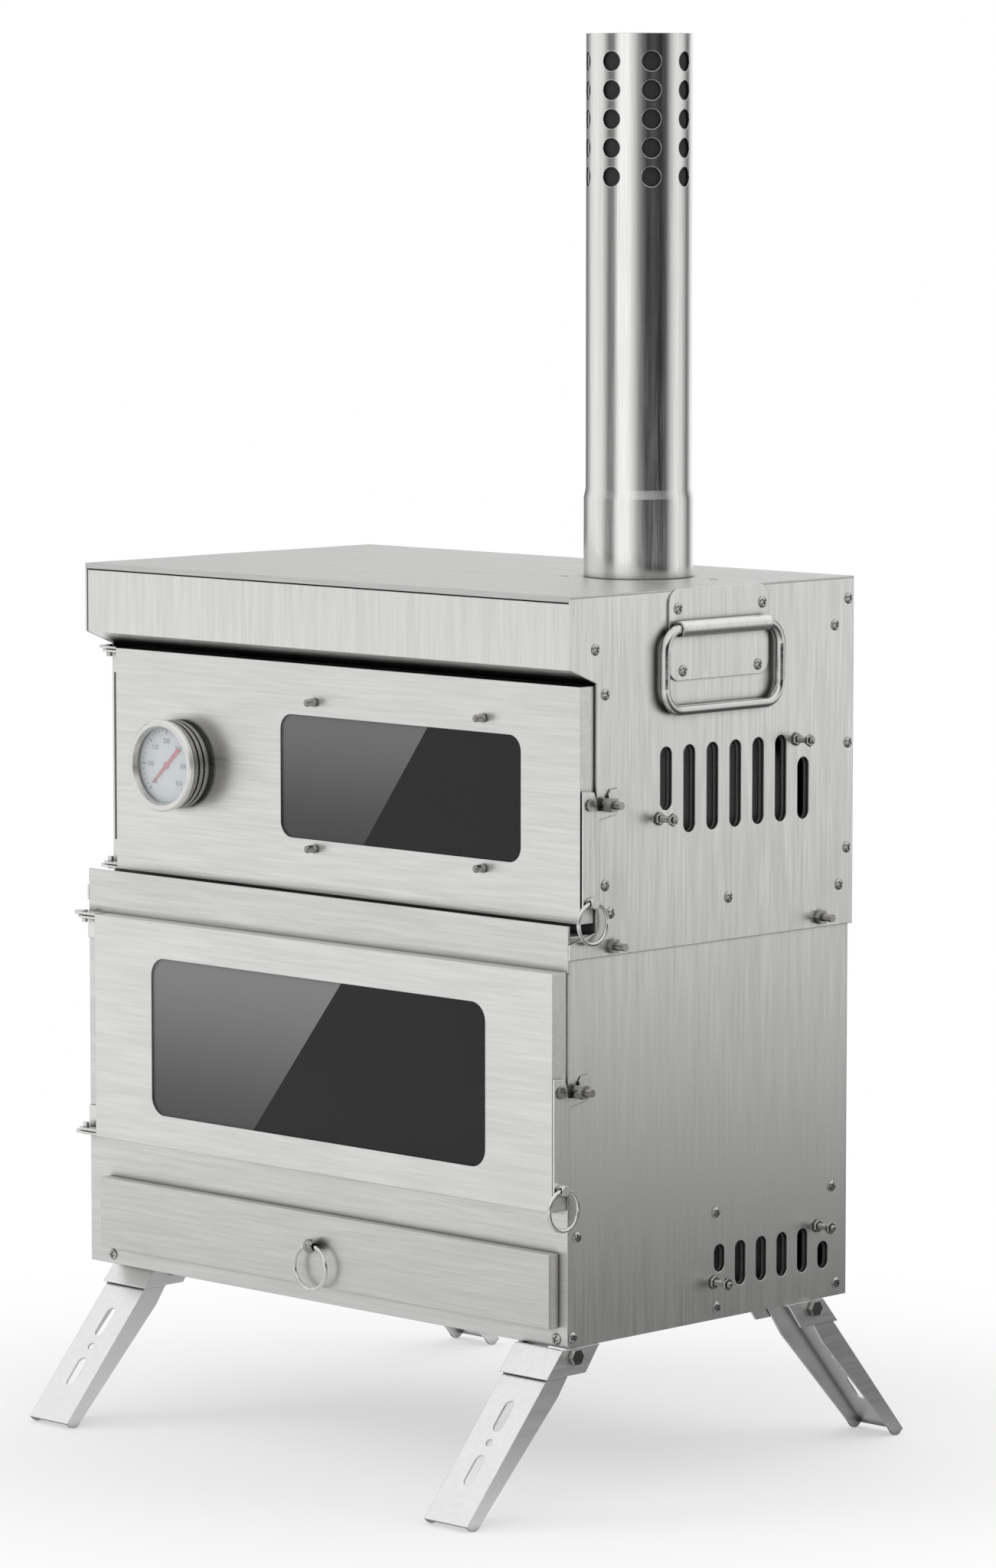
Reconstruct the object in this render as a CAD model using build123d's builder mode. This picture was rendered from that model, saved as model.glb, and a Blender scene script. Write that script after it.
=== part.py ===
from build123d import *
import math
import os

os.makedirs("parts", exist_ok=True)

# The stove stands on the floor at Z = 0 with its doors facing -Y. All sizes are in millimetres.
sheet = 1.5
casing_width = 442.4
casing_depth = 262.2
base_bottom = 101.5
lower_height = 241.5
upper_height = 223.5
lap_gap = 0.3
clearance = 0.3
seam = base_bottom + lower_height
cover_top = seam + upper_height
upper_half = casing_width / 2
upper_inner = upper_half - sheet
lower_half = upper_inner - lap_gap
lower_inner = lower_half - sheet
between_sides = upper_inner - 0.2
front = -casing_depth / 2
back = casing_depth / 2
lower_back_face = back - sheet - 0.7
flange = 10.0

# Hood, door recess and shelf between the two modules
recess = 23.5
hood_height = 40.6
hood_slope = 9.4
hood_setback = 0.5
hood_rear_gap = 0.6
cover_lip = 3.6
strip_below = 8.0
strip_height = 29.0
floor_rise = 13.0
shelf_rise = 9.6
shelf_slope = 6.2
recess_face = front + recess
hood_top = cover_top - cover_lip - 0.9
hood_bottom = hood_top - hood_height
hood_rear_bottom = hood_bottom - hood_slope
strip_bottom = seam - strip_below
strip_top = strip_bottom + strip_height
floor_level = seam + floor_rise
shelf_front = seam + shelf_rise
shelf_rear = shelf_front + shelf_slope

# Ash drawer
drawer_margin_left = 19.4
drawer_margin_right = 7.4
drawer_rise = 12.5
drawer_height = 46.5
drawer_depth = 8.6
drawer_margin = 7.0
drawer_margin_low = 2.0
drawer_margin_high = 3.0
tray_length = 226.0
tray_wall = 1.2
tray_height = 34.0
rail_inset = 34.0
rail_width = 12.0
drawer_left = -lower_half + drawer_margin_left
drawer_right = lower_half - drawer_margin_right
drawer_bottom = base_bottom + drawer_rise
drawer_top = drawer_bottom + drawer_height

# Fire door and its window
pan_edge = 1.5
fire_margin_left = 19.4
fire_margin_right = 0.9
fire_above_drawer = 27.5
fire_over_strip = 1.0
fire_door_depth = 12.6
fire_frame_left = 55.0
fire_frame_right = 57.5
fire_frame_low = 21.0
fire_frame_high = 23.5
fire_window_radius = 12.0
fire_opening_margin = 15.0
fire_left = -lower_half + fire_margin_left
fire_right = lower_half - fire_margin_right
fire_bottom = drawer_top + fire_above_drawer
fire_top = strip_bottom + fire_over_strip
fire_window = (fire_left + fire_frame_left, fire_right - fire_frame_right,
               fire_bottom + fire_frame_low, fire_top - fire_frame_high)

# Oven door and its window
oven_margin_left = 17.2
oven_margin_right = 2.2
oven_below_hood = 10.9
oven_door_depth = 12.1
oven_frame_left = 157.0
oven_frame_right = 50.7
oven_frame_low = 33.7
oven_frame_high = 33.0
oven_window_radius = 10.0
oven_opening_margin = 14.0
oven_opening_low = 7.7
oven_opening_high = 10.5
glass = 4.0
glass_lap = 3.2
glass_side_lap = 10.0
stud_inset = 32.0
stud_above = 9.0
stud_below = 5.5
stud_radius = 1.9
stud_proud = 9.0
stud_nut = 3.0
stud_nut_height = 3.2
clamp_side = 16.0
clamp_reach = 12.0
oven_left = -upper_half + oven_margin_left
oven_right = upper_half - oven_margin_right
oven_bottom = strip_top + clearance
oven_top = hood_bottom - oven_below_hood
oven_window = (oven_left + oven_frame_left, oven_right - oven_frame_right,
               oven_bottom + oven_frame_low, oven_top - oven_frame_high)
oven_opening_bottom = oven_bottom + oven_opening_low
oven_opening_top = oven_top - oven_opening_high

# Oven thermometer
gauge_inset = 63.5
gauge_rise = 73.9
gauge_radius = 30.0
gauge_proud = 20.0
bezel_lip = 5.5
bezel_depth = 3.6
probe_radius = 3.0
probe_length = 70.0
dial_thickness = 1.5
lens_thickness = 1.2
lens_depth = 3.2
groove_width = 1.4
needle_length = 16.0
needle_tail = 18.0
needle_half = 1.3
needle_hub = 2.2
needle_thickness = 0.7
needle_rest = 47.6
gauge_x = oven_left + gauge_inset
gauge_z = oven_bottom + gauge_rise
case_radius = gauge_radius - 1.0
groove_radius = case_radius - 1.6
dial_radius = groove_radius - 1.9

# Fire grate
grate_rise = 25.5
grate_thickness = 2.0
grate_slot = 8.0
grate_slot_length = 40.0
grate_bar = 18.0
grate_bridge = 14.0
ledge_depth = 13.0
ledge_height = 16.0
grate_level = drawer_top + grate_rise

# Oven box, rack and their supports
box_wall = 1.2
box_depth = 194.0
foot_width = 20.0
foot_spread = 240.0
rack_rise = 56.0
runner_width = 12.0
rack_wire = 2.0
rack_bar = 1.5
rack_bars = 12
rack_level = oven_opening_bottom + rack_rise

# Flue and chimney
flue_from_side = 96.1
flue_from_back = 99.0
pipe_wall = 1.2
swage_radius = 35.0
swage_step = 1.2
swage_height = 50.6
cone_height = 5.8
chimney_height = 343.6
spigot_gap = 1.0
spigot_above = 30.0
spigot_below = 20.0
spigot_flange = 50.0
flue_gap = 0.2
draught_hole = 6.25
draught_rows = 5
draught_columns = 8
draught_pitch = 18.1
draught_first = 17.7
draught_turn = -33.8
flue_x = upper_half - flue_from_side
flue_y = back - flue_from_back
chimney_low = cover_top + clearance
chimney_top = chimney_low + chimney_height
pipe_radius = swage_radius - swage_step

# Air slots, shutters and the guide studs that carry them
vent_pitch_upper = 21.35
vent_width_upper = 11.0
vent_from_front_upper = 86.1
upper_vent_count = 7
vent_rise_upper = 70.9
vent_height_upper = 55.1
vent_short_upper = 15.4
vent_pitch_lower = 19.75
vent_width_lower = 10.2
vent_from_front_lower = 138.9
lower_vent_count = 6
vent_rise_lower = 19.2
vent_height_lower = 28.6
vent_short_lower = 10.8
shutter_offset = 3.0
shutter_margin = 5.0
shutter_reach = 3.5
shutter_gap = 0.3
shutter_sheet = 1.0
guide_head = 1.2
guide_nut_height = 2.4
guide_radius = 2.0
guide_nut = 4.2
guide_proud = 15.5
vent_first_upper = front + vent_from_front_upper
vent_low_upper = seam + vent_rise_upper
vent_high_upper = vent_low_upper + vent_height_upper
vent_last_upper = vent_first_upper + (upper_vent_count - 1) * vent_pitch_upper
vent_first_lower = front + vent_from_front_lower
vent_low_lower = base_bottom + vent_rise_lower
vent_high_lower = vent_low_lower + vent_height_lower
vent_last_lower = vent_first_lower + (lower_vent_count - 1) * vent_pitch_lower
guide_spots_upper = (
    (vent_first_upper - 6.5, vent_low_upper + 10.7),
    (vent_last_upper - 7.1, vent_high_upper - 3.6),
)
guide_spots_lower = (
    (vent_first_lower - 5.8, vent_low_lower + 5.0),
    (vent_last_lower - 6.15, vent_high_lower),
)

# Carry handles
handle_y = 2.0
handle_width = 92.0
handle_height = 57.0
handle_corner = 9.0
rod_radius = 3.15
rod_gap = 0.35
bail_width = 113.0
bail_drop = 24.5
bail_height = 53.8
bail_corner = 14.0
barrel_inset = 5.0
handle_bottom = cover_top - handle_height
bail_pivot = cover_top - bail_drop
bail_bottom = bail_pivot - bail_height

# Bolts that join the two modules, and the casing screws
module_spots = ((front + 37.1, seam + 6.1), (back - 32.1, seam + 6.7))
module_proud = 12.0
screw_radius = 3.6
screw_height = 1.2
screws_upper = (
    (front + 22.1, cover_top - 33.5),
    (front + 31.1, cover_top - 61.5),
    (back - 5.1, cover_top - 14.1),
    (back - 18.1, cover_top - 30.5),
    (back - 5.1, cover_top - 106.5),
    (back - 5.7, seam + 49.4),
    (back - 13.1, seam + 26.0),
    (back - 118.1, seam + 27.0),
    (front + 31.1, seam + 44.0),
    (front + 36.1, seam + 26.6),
)
screws_handle = (
    (handle_y - 38.0, handle_bottom + 45.0),
    (handle_y + 40.0, handle_bottom + 45.0),
    (handle_y - 33.5, handle_bottom + 6.0),
    (handle_y + 36.0, handle_bottom + 6.0),
)
screws_lower = (
    (back - 16.5, base_bottom + 72.0),
    (back - 126.8, base_bottom + 68.5),
    (back - 11.7, base_bottom + 8.3),
    (back - 126.1, base_bottom + 7.8),
    (front + 8.4, base_bottom + 68.8),
    (front + 4.7, base_bottom + 6.5),
)

# Latches, with their positions taken from the post that each one hooks on
post_radius = 2.5
post_proud = 16.0
post_nut = 4.8
post_nut_height = 7.0
oven_post_behind_door = 18.0
oven_post_rise = 73.3
fire_post_behind_door = 18.2
fire_post_rise = 74.0
oven_post = (recess_face - clearance - oven_door_depth + oven_post_behind_door, oven_bottom + oven_post_rise)
fire_post = (front - clearance - fire_door_depth + fire_post_behind_door, fire_bottom + fire_post_rise)
lever = 1.5
lever_pivot = (-13.5, 0.4)
lever_eye = (-13.4, -60.0)
lever_outline = (
    (-19.0, 9.1),
    (-9.5, 7.9),
    (-7.5, 2.4),
    (-6.5, -3.6),
    (3.4, -3.6),
    (3.4, 5.4),
    (5.5, 8.7),
    (13.0, 8.7),
    (13.0, -1.6),
    (10.0, -7.1),
    (-5.3, -9.6),
    (-4.8, -59.6),
    (-7.0, -63.6),
    (-19.0, -63.6),
)
rivet_radius = 2.0
rivet_head = 3.6
pin_gap = 0.05

# Ring pulls
ring_wire = 1.3
door_ring = 12.7
drawer_ring = 14.3
eye_height = 5.2
eye_radius = 3.4
ring_slack = 0.6
ring_lift = 0.2
drawer_eye_rise = 27.0
drawer_eye_proud = 6.0
drawer_ball = 4.6
drawer_eye = ((drawer_left + drawer_right) / 2, drawer_bottom + drawer_eye_rise)

# Door hinges
hinge_pin = 2.0
hinge_inset = 4.2
hinge_ear = 9.5
ear_gap = 0.8
leaf_height = 18.0
leaf_gap = 2.0
leaf_beyond_pin = 2.0
door_ear = 4.4
pin_length = 8.0
hinge_x = -upper_half + hinge_inset

# Legs
leg_lean = 40.8
leg_width = 37.0
leg_inset = 18.9
pivot_drop = 5.0
far_pivot_inset = 4.1
near_pivot_inset = 35.6
pivot_to_web = 9.0
flange_wide = 15.5
flange_foot = 9.4
foot_radius = 6.0
bracket_drop = 16.5
bracket_length = 33.0
bracket_top = 10.0
bracket_slant = 12.4
bolt_radius = 2.5
bolt_nut = 5.2
nut_height = 4.0
leg_slot = 7.5
leg_slots = ((41.7, 63.7), (81.3, 102.9))
leg_hole = 72.1
leg_x = lower_half - leg_inset
far_pivot = back - far_pivot_inset
near_pivot = back - near_pivot_inset


def rectangle(left, right, low, high, mode=Mode.ADD):
    """A rectangle given by its four edges in the plane of the sketch."""
    with Locations(((left + right) / 2, (low + high) / 2)):
        Rectangle(right - left, high - low, mode=mode)


def keep(piece, name):
    """Names one finished piece and writes it."""
    piece.part.label = name
    export_step(piece.part, f"parts/{name}.step")


def tray(left, right, low, high, face, depth, wall):
    """An open folded tray with its closed face at Y = face and its rim further back."""
    with BuildSketch(Plane.XZ.offset(-face - depth)) as outside:
        rectangle(left, right, low, high)
    extrude(outside.sketch, amount=depth)
    with BuildSketch(Plane.XZ.offset(-face - depth)) as inside:
        rectangle(left + wall, right - wall, low + wall, high - wall)
    extrude(inside.sketch, amount=depth - wall, mode=Mode.SUBTRACT)


def window(bounds, radius, face, depth):
    """A round-cornered opening through the closed face of a door."""
    left, right, low, high = bounds
    with BuildSketch(Plane.XZ.offset(-face - depth)) as opening:
        with Locations(((left + right) / 2, (low + high) / 2)):
            RectangleRounded(right - left, high - low, radius)
    extrude(opening.sketch, amount=depth * 2, mode=Mode.SUBTRACT)


def slot_row(first, pitch, width, count, low, high, short, shift=0.0):
    """Upright air slots. The first is cut short from below and the last from above."""
    for index in range(count):
        bottom = low + short if index == 0 else low
        top = high - short if index == count - 1 else high
        with Locations((first + index * pitch + shift, (bottom + top) / 2)):
            SlotOverall(top - bottom, width, rotation=90)


def upper_slots(shift=0.0):
    slot_row(vent_first_upper, vent_pitch_upper, vent_width_upper, upper_vent_count,
             vent_low_upper, vent_high_upper, vent_short_upper, shift)


def lower_slots(shift=0.0):
    slot_row(vent_first_lower, vent_pitch_lower, vent_width_lower, lower_vent_count,
             vent_low_lower, vent_high_lower, vent_short_lower, shift)


# Base plate: a shallow tray between the side panels
with BuildPart() as base_plate:
    with BuildSketch(Plane.XY.offset(base_bottom)):
        rectangle(-lower_inner, lower_inner, front + sheet, lower_back_face - sheet)
    extrude(amount=flange + sheet)
    with BuildSketch(Plane.XY.offset(base_bottom + sheet)):
        rectangle(-lower_inner + sheet, lower_inner - sheet, front + 2 * sheet, lower_back_face - 2 * sheet)
    extrude(amount=flange, mode=Mode.SUBTRACT)
keep(base_plate, "base_plate")

# Lower side panels: plain sheets with a row of air slots near the back
with BuildPart() as lower_side_right:
    with BuildSketch(Plane.YZ.offset(lower_inner)):
        rectangle(front + sheet, lower_back_face - sheet, base_bottom, floor_level)
    extrude(amount=sheet)
    with BuildSketch(Plane.YZ.offset(lower_inner)):
        lower_slots()
        with Locations(*guide_spots_lower):
            Circle(guide_radius)
        with Locations(fire_post, *module_spots):
            Circle(post_radius)
    extrude(amount=sheet, mode=Mode.SUBTRACT)
keep(lower_side_right, "lower_side_right")

with BuildPart() as lower_side_left:
    mirror(lower_side_right.part, about=Plane.YZ)
keep(lower_side_left, "lower_side_left")

# Lower back panel with the flanges that the side screws bite into
with BuildPart() as lower_back_panel:
    with BuildSketch(Plane.XZ.offset(-lower_back_face)):
        rectangle(-lower_half, lower_half, base_bottom, floor_level)
    extrude(amount=sheet)
    with BuildSketch(Plane.XY.offset(vent_high_lower + flange)):
        for side in (-1, 1):
            with Locations((side * (lower_inner - sheet / 2), lower_back_face - sheet - flange / 2)):
                Rectangle(sheet, flange)
    extrude(amount=floor_level - vent_high_lower - flange - 4 * sheet)
keep(lower_back_panel, "lower_back_panel")

# Lower front frame: one sheet with the fire opening and the drawer opening
fire_opening = (fire_left + fire_opening_margin, fire_right - fire_opening_margin,
                fire_bottom + fire_opening_margin, fire_top - fire_opening_margin)
drawer_low = drawer_bottom + drawer_margin_low
with BuildPart() as lower_front_frame:
    with BuildSketch(Plane.XZ.offset(-front - sheet)):
        rectangle(-lower_half, lower_half, base_bottom, strip_bottom - clearance)
        rectangle(*fire_opening, mode=Mode.SUBTRACT)
        rectangle(drawer_left + drawer_margin, drawer_right - drawer_margin,
                  drawer_low, drawer_top - drawer_margin_high, mode=Mode.SUBTRACT)
    extrude(amount=sheet)
    with BuildSketch(Plane.XY.offset(base_bottom + flange + 2 * sheet)):
        for side in (-1, 1):
            with Locations((side * (lower_inner - sheet / 2), front + sheet + flange / 2)):
                Rectangle(sheet, flange)
    extrude(amount=strip_bottom - base_bottom - flange - 4 * sheet)
keep(lower_front_frame, "lower_front_frame")

# Drawer rails: two channels that stand on the base plate
tray_bottom = drawer_low + drawer_margin_low
rail_x = (drawer_left + rail_inset, drawer_right - rail_inset)
with BuildPart() as drawer_rails:
    with BuildSketch(Plane.XZ.offset(-front - 3 * sheet)):
        for centre in rail_x:
            with Locations((centre, (base_bottom + sheet + tray_bottom - clearance) / 2)):
                Rectangle(rail_width, tray_bottom - clearance - base_bottom - sheet)
            with Locations((centre, (base_bottom + tray_bottom - clearance - sheet) / 2)):
                Rectangle(rail_width - 2 * sheet, tray_bottom - clearance - base_bottom - sheet,
                          mode=Mode.SUBTRACT)
    extrude(amount=-(tray_length - flange))
keep(drawer_rails, "drawer_rails")

# Grate ledges: an angle along each side wall
ledge_front = front + sheet + flange + 4.0
ledge_rear = lower_back_face - sheet - flange - 4.0
with BuildPart() as grate_ledges:
    for side in (-1, 1):
        with BuildSketch(Plane.XZ.offset(-ledge_front)):
            with Locations((side * (lower_inner - sheet / 2), grate_level - ledge_height / 2)):
                Rectangle(sheet, ledge_height)
            with Locations((side * (lower_inner - ledge_depth / 2), grate_level - sheet / 2)):
                Rectangle(ledge_depth, sheet)
        extrude(amount=-(ledge_rear - ledge_front))
keep(grate_ledges, "grate_ledges")

# Fire grate: a flat plate with rows of ash slots
grate_columns = int((2 * lower_inner - 4 * flange) / (grate_slot + grate_bar))
grate_rows = int((ledge_rear - ledge_front) / (grate_slot_length + grate_bridge))
with BuildPart() as fire_grate:
    with BuildSketch(Plane.XY.offset(grate_level)):
        rectangle(-lower_inner + 2 * sheet, lower_inner - 2 * sheet, ledge_front - 8.0, ledge_rear + 6.0)
        with GridLocations(grate_slot + grate_bar, grate_slot_length + grate_bridge,
                           grate_columns, grate_rows):
            Rectangle(grate_slot, grate_slot_length, mode=Mode.SUBTRACT)
    extrude(amount=grate_thickness)
keep(fire_grate, "fire_grate")

# Module floor: the plate between fire and oven, with a smoke slot near its back edge and its front
# edge folded into the upright shelf strip
with BuildPart() as module_floor:
    with BuildSketch(Plane.XY.offset(floor_level)):
        rectangle(-between_sides, between_sides, front + sheet, back - sheet - clearance)
        rectangle(-between_sides + 30.0, between_sides - 30.0, back - 32.0, back - flange, mode=Mode.SUBTRACT)
    extrude(amount=sheet)
    with BuildSketch(Plane.XZ.offset(-front - sheet)):
        rectangle(-between_sides, between_sides, strip_bottom, strip_top)
    extrude(amount=sheet)
keep(module_floor, "module_floor")

# Upper side panels: a C-shaped outline round the door recess, lapping outside the lower panels
with BuildPart() as upper_side_right:
    with BuildSketch(Plane.YZ.offset(upper_inner)):
        Polygon(
            (back, seam),
            (back, cover_top - sheet),
            (front, cover_top - sheet),
            (front, hood_bottom),
            (recess_face, hood_rear_bottom),
            (recess_face, shelf_rear),
            (front, shelf_front),
            (front, seam),
        )
    extrude(amount=sheet)
    with BuildSketch(Plane.YZ.offset(upper_inner)):
        upper_slots()
        with Locations(*guide_spots_upper):
            Circle(guide_radius)
        with Locations(oven_post, *module_spots):
            Circle(post_radius)
    extrude(amount=sheet, mode=Mode.SUBTRACT)
keep(upper_side_right, "upper_side_right")

with BuildPart() as upper_side_left:
    mirror(upper_side_right.part, about=Plane.YZ)
keep(upper_side_left, "upper_side_left")

# Upper back panel, flanged like the lower one
with BuildPart() as upper_back_panel:
    with BuildSketch(Plane.XZ.offset(-back)):
        rectangle(-between_sides, between_sides, seam, cover_top - sheet)
    extrude(amount=sheet)
    with BuildSketch(Plane.XY.offset(floor_level + 3 * sheet)):
        for side in (-1, 1):
            with Locations((side * (between_sides - sheet / 2), back - sheet - flange / 2)):
                Rectangle(sheet, flange)
    extrude(amount=cover_top - floor_level - 6 * sheet)
keep(upper_back_panel, "upper_back_panel")

# Oven front frame: the recessed sheet that the oven door closes on
oven_opening = (oven_left + oven_opening_margin, oven_right - oven_opening_margin,
                oven_opening_bottom, oven_opening_top)
with BuildPart() as oven_front_frame:
    with BuildSketch(Plane.XZ.offset(-recess_face - sheet)):
        rectangle(-between_sides, between_sides, floor_level + sheet, hood_rear_bottom - 2 * hood_rear_gap)
        rectangle(*oven_opening, mode=Mode.SUBTRACT)
    extrude(amount=sheet)
keep(oven_front_frame, "oven_front_frame")

# Hood: the front band, its lip under the cover and the underside that slopes back over the door
hood_face = front + hood_setback
with BuildPart() as hood:
    with BuildSketch(Plane.YZ.offset(-between_sides)):
        Polygon(
            (hood_face, hood_bottom),
            (hood_face, hood_top),
            (hood_face + flange, hood_top),
            (hood_face + flange, hood_top - sheet),
            (hood_face + sheet, hood_top - sheet),
            (hood_face + sheet, hood_bottom + sheet),
            (recess_face + sheet, hood_rear_bottom + sheet - hood_rear_gap),
            (recess_face + sheet, hood_rear_bottom - hood_rear_gap),
        )
    extrude(amount=2 * between_sides)
keep(hood, "hood")

# Top cover: the cooktop, with a short lip over the hood and a hole for the flue
spigot_radius = swage_radius - pipe_wall - spigot_gap
with BuildPart() as top_cover:
    with BuildSketch(Plane.XY.offset(cover_top - sheet)):
        rectangle(-upper_half, upper_half, front, back)
        with Locations((flue_x, flue_y)):
            Circle(spigot_radius + flue_gap, mode=Mode.SUBTRACT)
    extrude(amount=sheet)
    with BuildSketch(Plane.XY.offset(cover_top - sheet)):
        rectangle(-between_sides, between_sides, front, front + sheet)
    extrude(amount=-(cover_lip - sheet))
keep(top_cover, "top_cover")

# Oven box: an open-fronted liner that the smoke passes round, with a runner for the rack on each side
box_left, box_right, box_low, box_high = oven_opening
box_front = recess_face + sheet
with BuildPart() as oven_box:
    with BuildSketch(Plane.XZ.offset(-box_front)):
        rectangle(box_left - box_wall, box_right + box_wall, box_low - box_wall, box_high + box_wall)
    extrude(amount=-box_depth)
    with BuildSketch(Plane.XZ.offset(-box_front)):
        rectangle(box_left, box_right, box_low, box_high)
    extrude(amount=-(box_depth - box_wall), mode=Mode.SUBTRACT)
    with BuildSketch(Plane.XZ.offset(-box_front - flange)):
        rectangle(box_left, box_left + runner_width, rack_level, rack_level + box_wall)
        rectangle(box_right - runner_width, box_right, rack_level, rack_level + box_wall)
    extrude(amount=-(box_depth - 3 * flange))
keep(oven_box, "oven_box")

# Oven box feet: two channels between the module floor and the box
box_centre = (box_left + box_right) / 2
foot_low = floor_level + sheet
foot_high = box_low - box_wall
with BuildPart() as oven_box_feet:
    with BuildSketch(Plane.XZ.offset(-box_front - flange)):
        for side in (-1, 1):
            with Locations((box_centre + side * foot_spread / 2, (foot_low + foot_high) / 2)):
                Rectangle(foot_width, foot_high - foot_low)
            with Locations((box_centre + side * foot_spread / 2, (foot_low + foot_high) / 2 - sheet)):
                Rectangle(foot_width - 2 * sheet, foot_high - foot_low, mode=Mode.SUBTRACT)
    extrude(amount=-(box_depth - 4 * flange))
keep(oven_box_feet, "oven_box_feet")

# Oven rack: a wire frame with thinner bars across it
rack_front = box_front + 2 * flange
rack_rear = box_front + box_depth - 2 * flange
rack_height = rack_level + box_wall + rack_wire
rack_left = box_left + box_wall + rack_wire + 1.0
rack_right = box_right - box_wall - rack_wire - 1.0
with BuildPart() as oven_rack:
    for rack_y in (rack_front, rack_rear):
        with BuildSketch(Plane.YZ.offset(rack_left)):
            with Locations((rack_y, rack_height)):
                Circle(rack_wire)
        extrude(amount=rack_right - rack_left)
    for rack_x in (rack_left, rack_right):
        with BuildSketch(Plane.XZ.offset(-rack_front)):
            with Locations((rack_x, rack_height)):
                Circle(rack_wire)
        extrude(amount=-(rack_rear - rack_front))
    bar_pitch = (rack_right - rack_left) / (rack_bars + 1)
    for index in range(rack_bars):
        with BuildSketch(Plane.XZ.offset(-rack_front)):
            with Locations((rack_left + (index + 1) * bar_pitch, rack_height)):
                Rectangle(2 * rack_bar, 2 * rack_bar)
        extrude(amount=-(rack_rear - rack_front))
keep(oven_rack, "oven_rack")

# Flue spigot: a short tube with a flange that is held under the cover
flue_plane = Plane(origin=(flue_x, flue_y, 0), x_dir=(1, 0, 0), z_dir=(0, -1, 0))
flue_axis = Axis((flue_x, flue_y, 0), (0, 0, 1))
with BuildPart() as flue_spigot:
    with BuildSketch(flue_plane):
        rectangle(spigot_radius - pipe_wall, spigot_radius,
                  cover_top - spigot_below, cover_top + spigot_above)
        rectangle(spigot_radius - pipe_wall, spigot_flange, cover_top - 2 * sheet, cover_top - sheet)
    revolve(axis=flue_axis)
keep(flue_spigot, "flue_spigot")

# Chimney: one pipe with an expanded lower end and rows of draught holes near its top
cone_low = cover_top + swage_height
with BuildPart() as chimney_pipe:
    with BuildSketch(flue_plane):
        Polygon(
            (swage_radius, chimney_low),
            (swage_radius, cone_low),
            (pipe_radius, cone_low + cone_height),
            (pipe_radius, chimney_top),
            (pipe_radius - pipe_wall, chimney_top),
            (pipe_radius - pipe_wall, cone_low + cone_height),
            (swage_radius - pipe_wall, cone_low),
            (swage_radius - pipe_wall, chimney_low),
        )
    revolve(axis=flue_axis)
    for index in range(draught_columns // 2):
        turn = math.radians(draught_turn + index * 360.0 / draught_columns)
        outward = (math.cos(turn), math.sin(turn), 0)
        across = (-math.sin(turn), math.cos(turn), 0)
        with BuildSketch(Plane(origin=(flue_x, flue_y, 0), x_dir=across, z_dir=outward)):
            for row in range(draught_rows):
                with Locations((0, chimney_top - draught_first - row * draught_pitch)):
                    Circle(draught_hole)
        extrude(amount=swage_radius + pipe_wall, both=True, mode=Mode.SUBTRACT)
keep(chimney_pipe, "chimney_pipe")

# Handle plates: each is wrapped round the top bar of its bail
rod_x = upper_half + sheet + rod_radius + rod_gap
barrel_length = handle_width - 2 * barrel_inset
with BuildPart() as handle_plates:
    with BuildSketch(Plane.YZ.offset(upper_half)):
        with Locations((handle_y, (handle_bottom + cover_top) / 2)):
            RectangleRounded(handle_width, cover_top - handle_bottom, handle_corner)
    extrude(amount=sheet)
    with BuildSketch(Plane.XZ.offset(-handle_y)):
        with Locations((rod_x, bail_pivot)):
            Circle(rod_radius + rod_gap + sheet)
    extrude(amount=barrel_length / 2, both=True)
    with BuildSketch(Plane.XZ.offset(-handle_y)):
        with Locations((rod_x, bail_pivot)):
            Circle(rod_radius + rod_gap)
    extrude(amount=handle_width / 2, both=True, mode=Mode.SUBTRACT)
    mirror(about=Plane.YZ)
keep(handle_plates, "handle_plates")

# Bails: a closed loop of round rod
bail_half = bail_width / 2 - rod_radius
bail_low = bail_bottom + rod_radius
with BuildPart() as bail_right:
    with BuildSketch(Plane.YZ.offset(rod_x), mode=Mode.PRIVATE) as bail_loop:
        with Locations((handle_y, (bail_pivot + bail_low) / 2)):
            RectangleRounded(2 * bail_half, bail_pivot - bail_low, bail_corner)
    bail_path = bail_loop.sketch.wire()
    with BuildSketch(Plane(origin=bail_path @ 0, z_dir=bail_path % 0)):
        Circle(rod_radius)
    sweep(path=bail_path)
keep(bail_right, "bail_right")

with BuildPart() as bail_left:
    mirror(bail_right.part, about=Plane.YZ)
keep(bail_left, "bail_left")


def shutter(inner, first, pitch, width, count, low, high, spots, cut):
    """A sliding plate behind one row of air slots, hung on two guide studs."""
    closing = pitch / 2 - shutter_offset
    near = spots[0][0] - shutter_offset - guide_radius - shutter_margin
    far = first + (count - 1) * pitch + width / 2 + closing
    with BuildSketch(Plane.YZ.offset(inner - shutter_gap)) as plate:
        rectangle(near, far, low - shutter_reach, high + shutter_reach)
    extrude(plate.sketch, amount=-shutter_sheet)
    with BuildSketch(Plane.YZ.offset(inner - shutter_gap)) as openings:
        cut(-shutter_offset)
        for place, height in spots:
            with Locations((place + (closing - shutter_offset) / 2, height)):
                SlotOverall(closing + shutter_offset + 2 * (guide_radius + clearance),
                            2 * (guide_radius + clearance))
    extrude(openings.sketch, amount=-shutter_sheet, mode=Mode.SUBTRACT)


# Air shutters, shown not quite fully open as in the photograph
with BuildPart() as shutter_upper_right:
    shutter(upper_inner, vent_first_upper, vent_pitch_upper, vent_width_upper, upper_vent_count,
            vent_low_upper, vent_high_upper, guide_spots_upper, upper_slots)
keep(shutter_upper_right, "shutter_upper_right")

with BuildPart() as shutter_upper_left:
    mirror(shutter_upper_right.part, about=Plane.YZ)
keep(shutter_upper_left, "shutter_upper_left")

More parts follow.
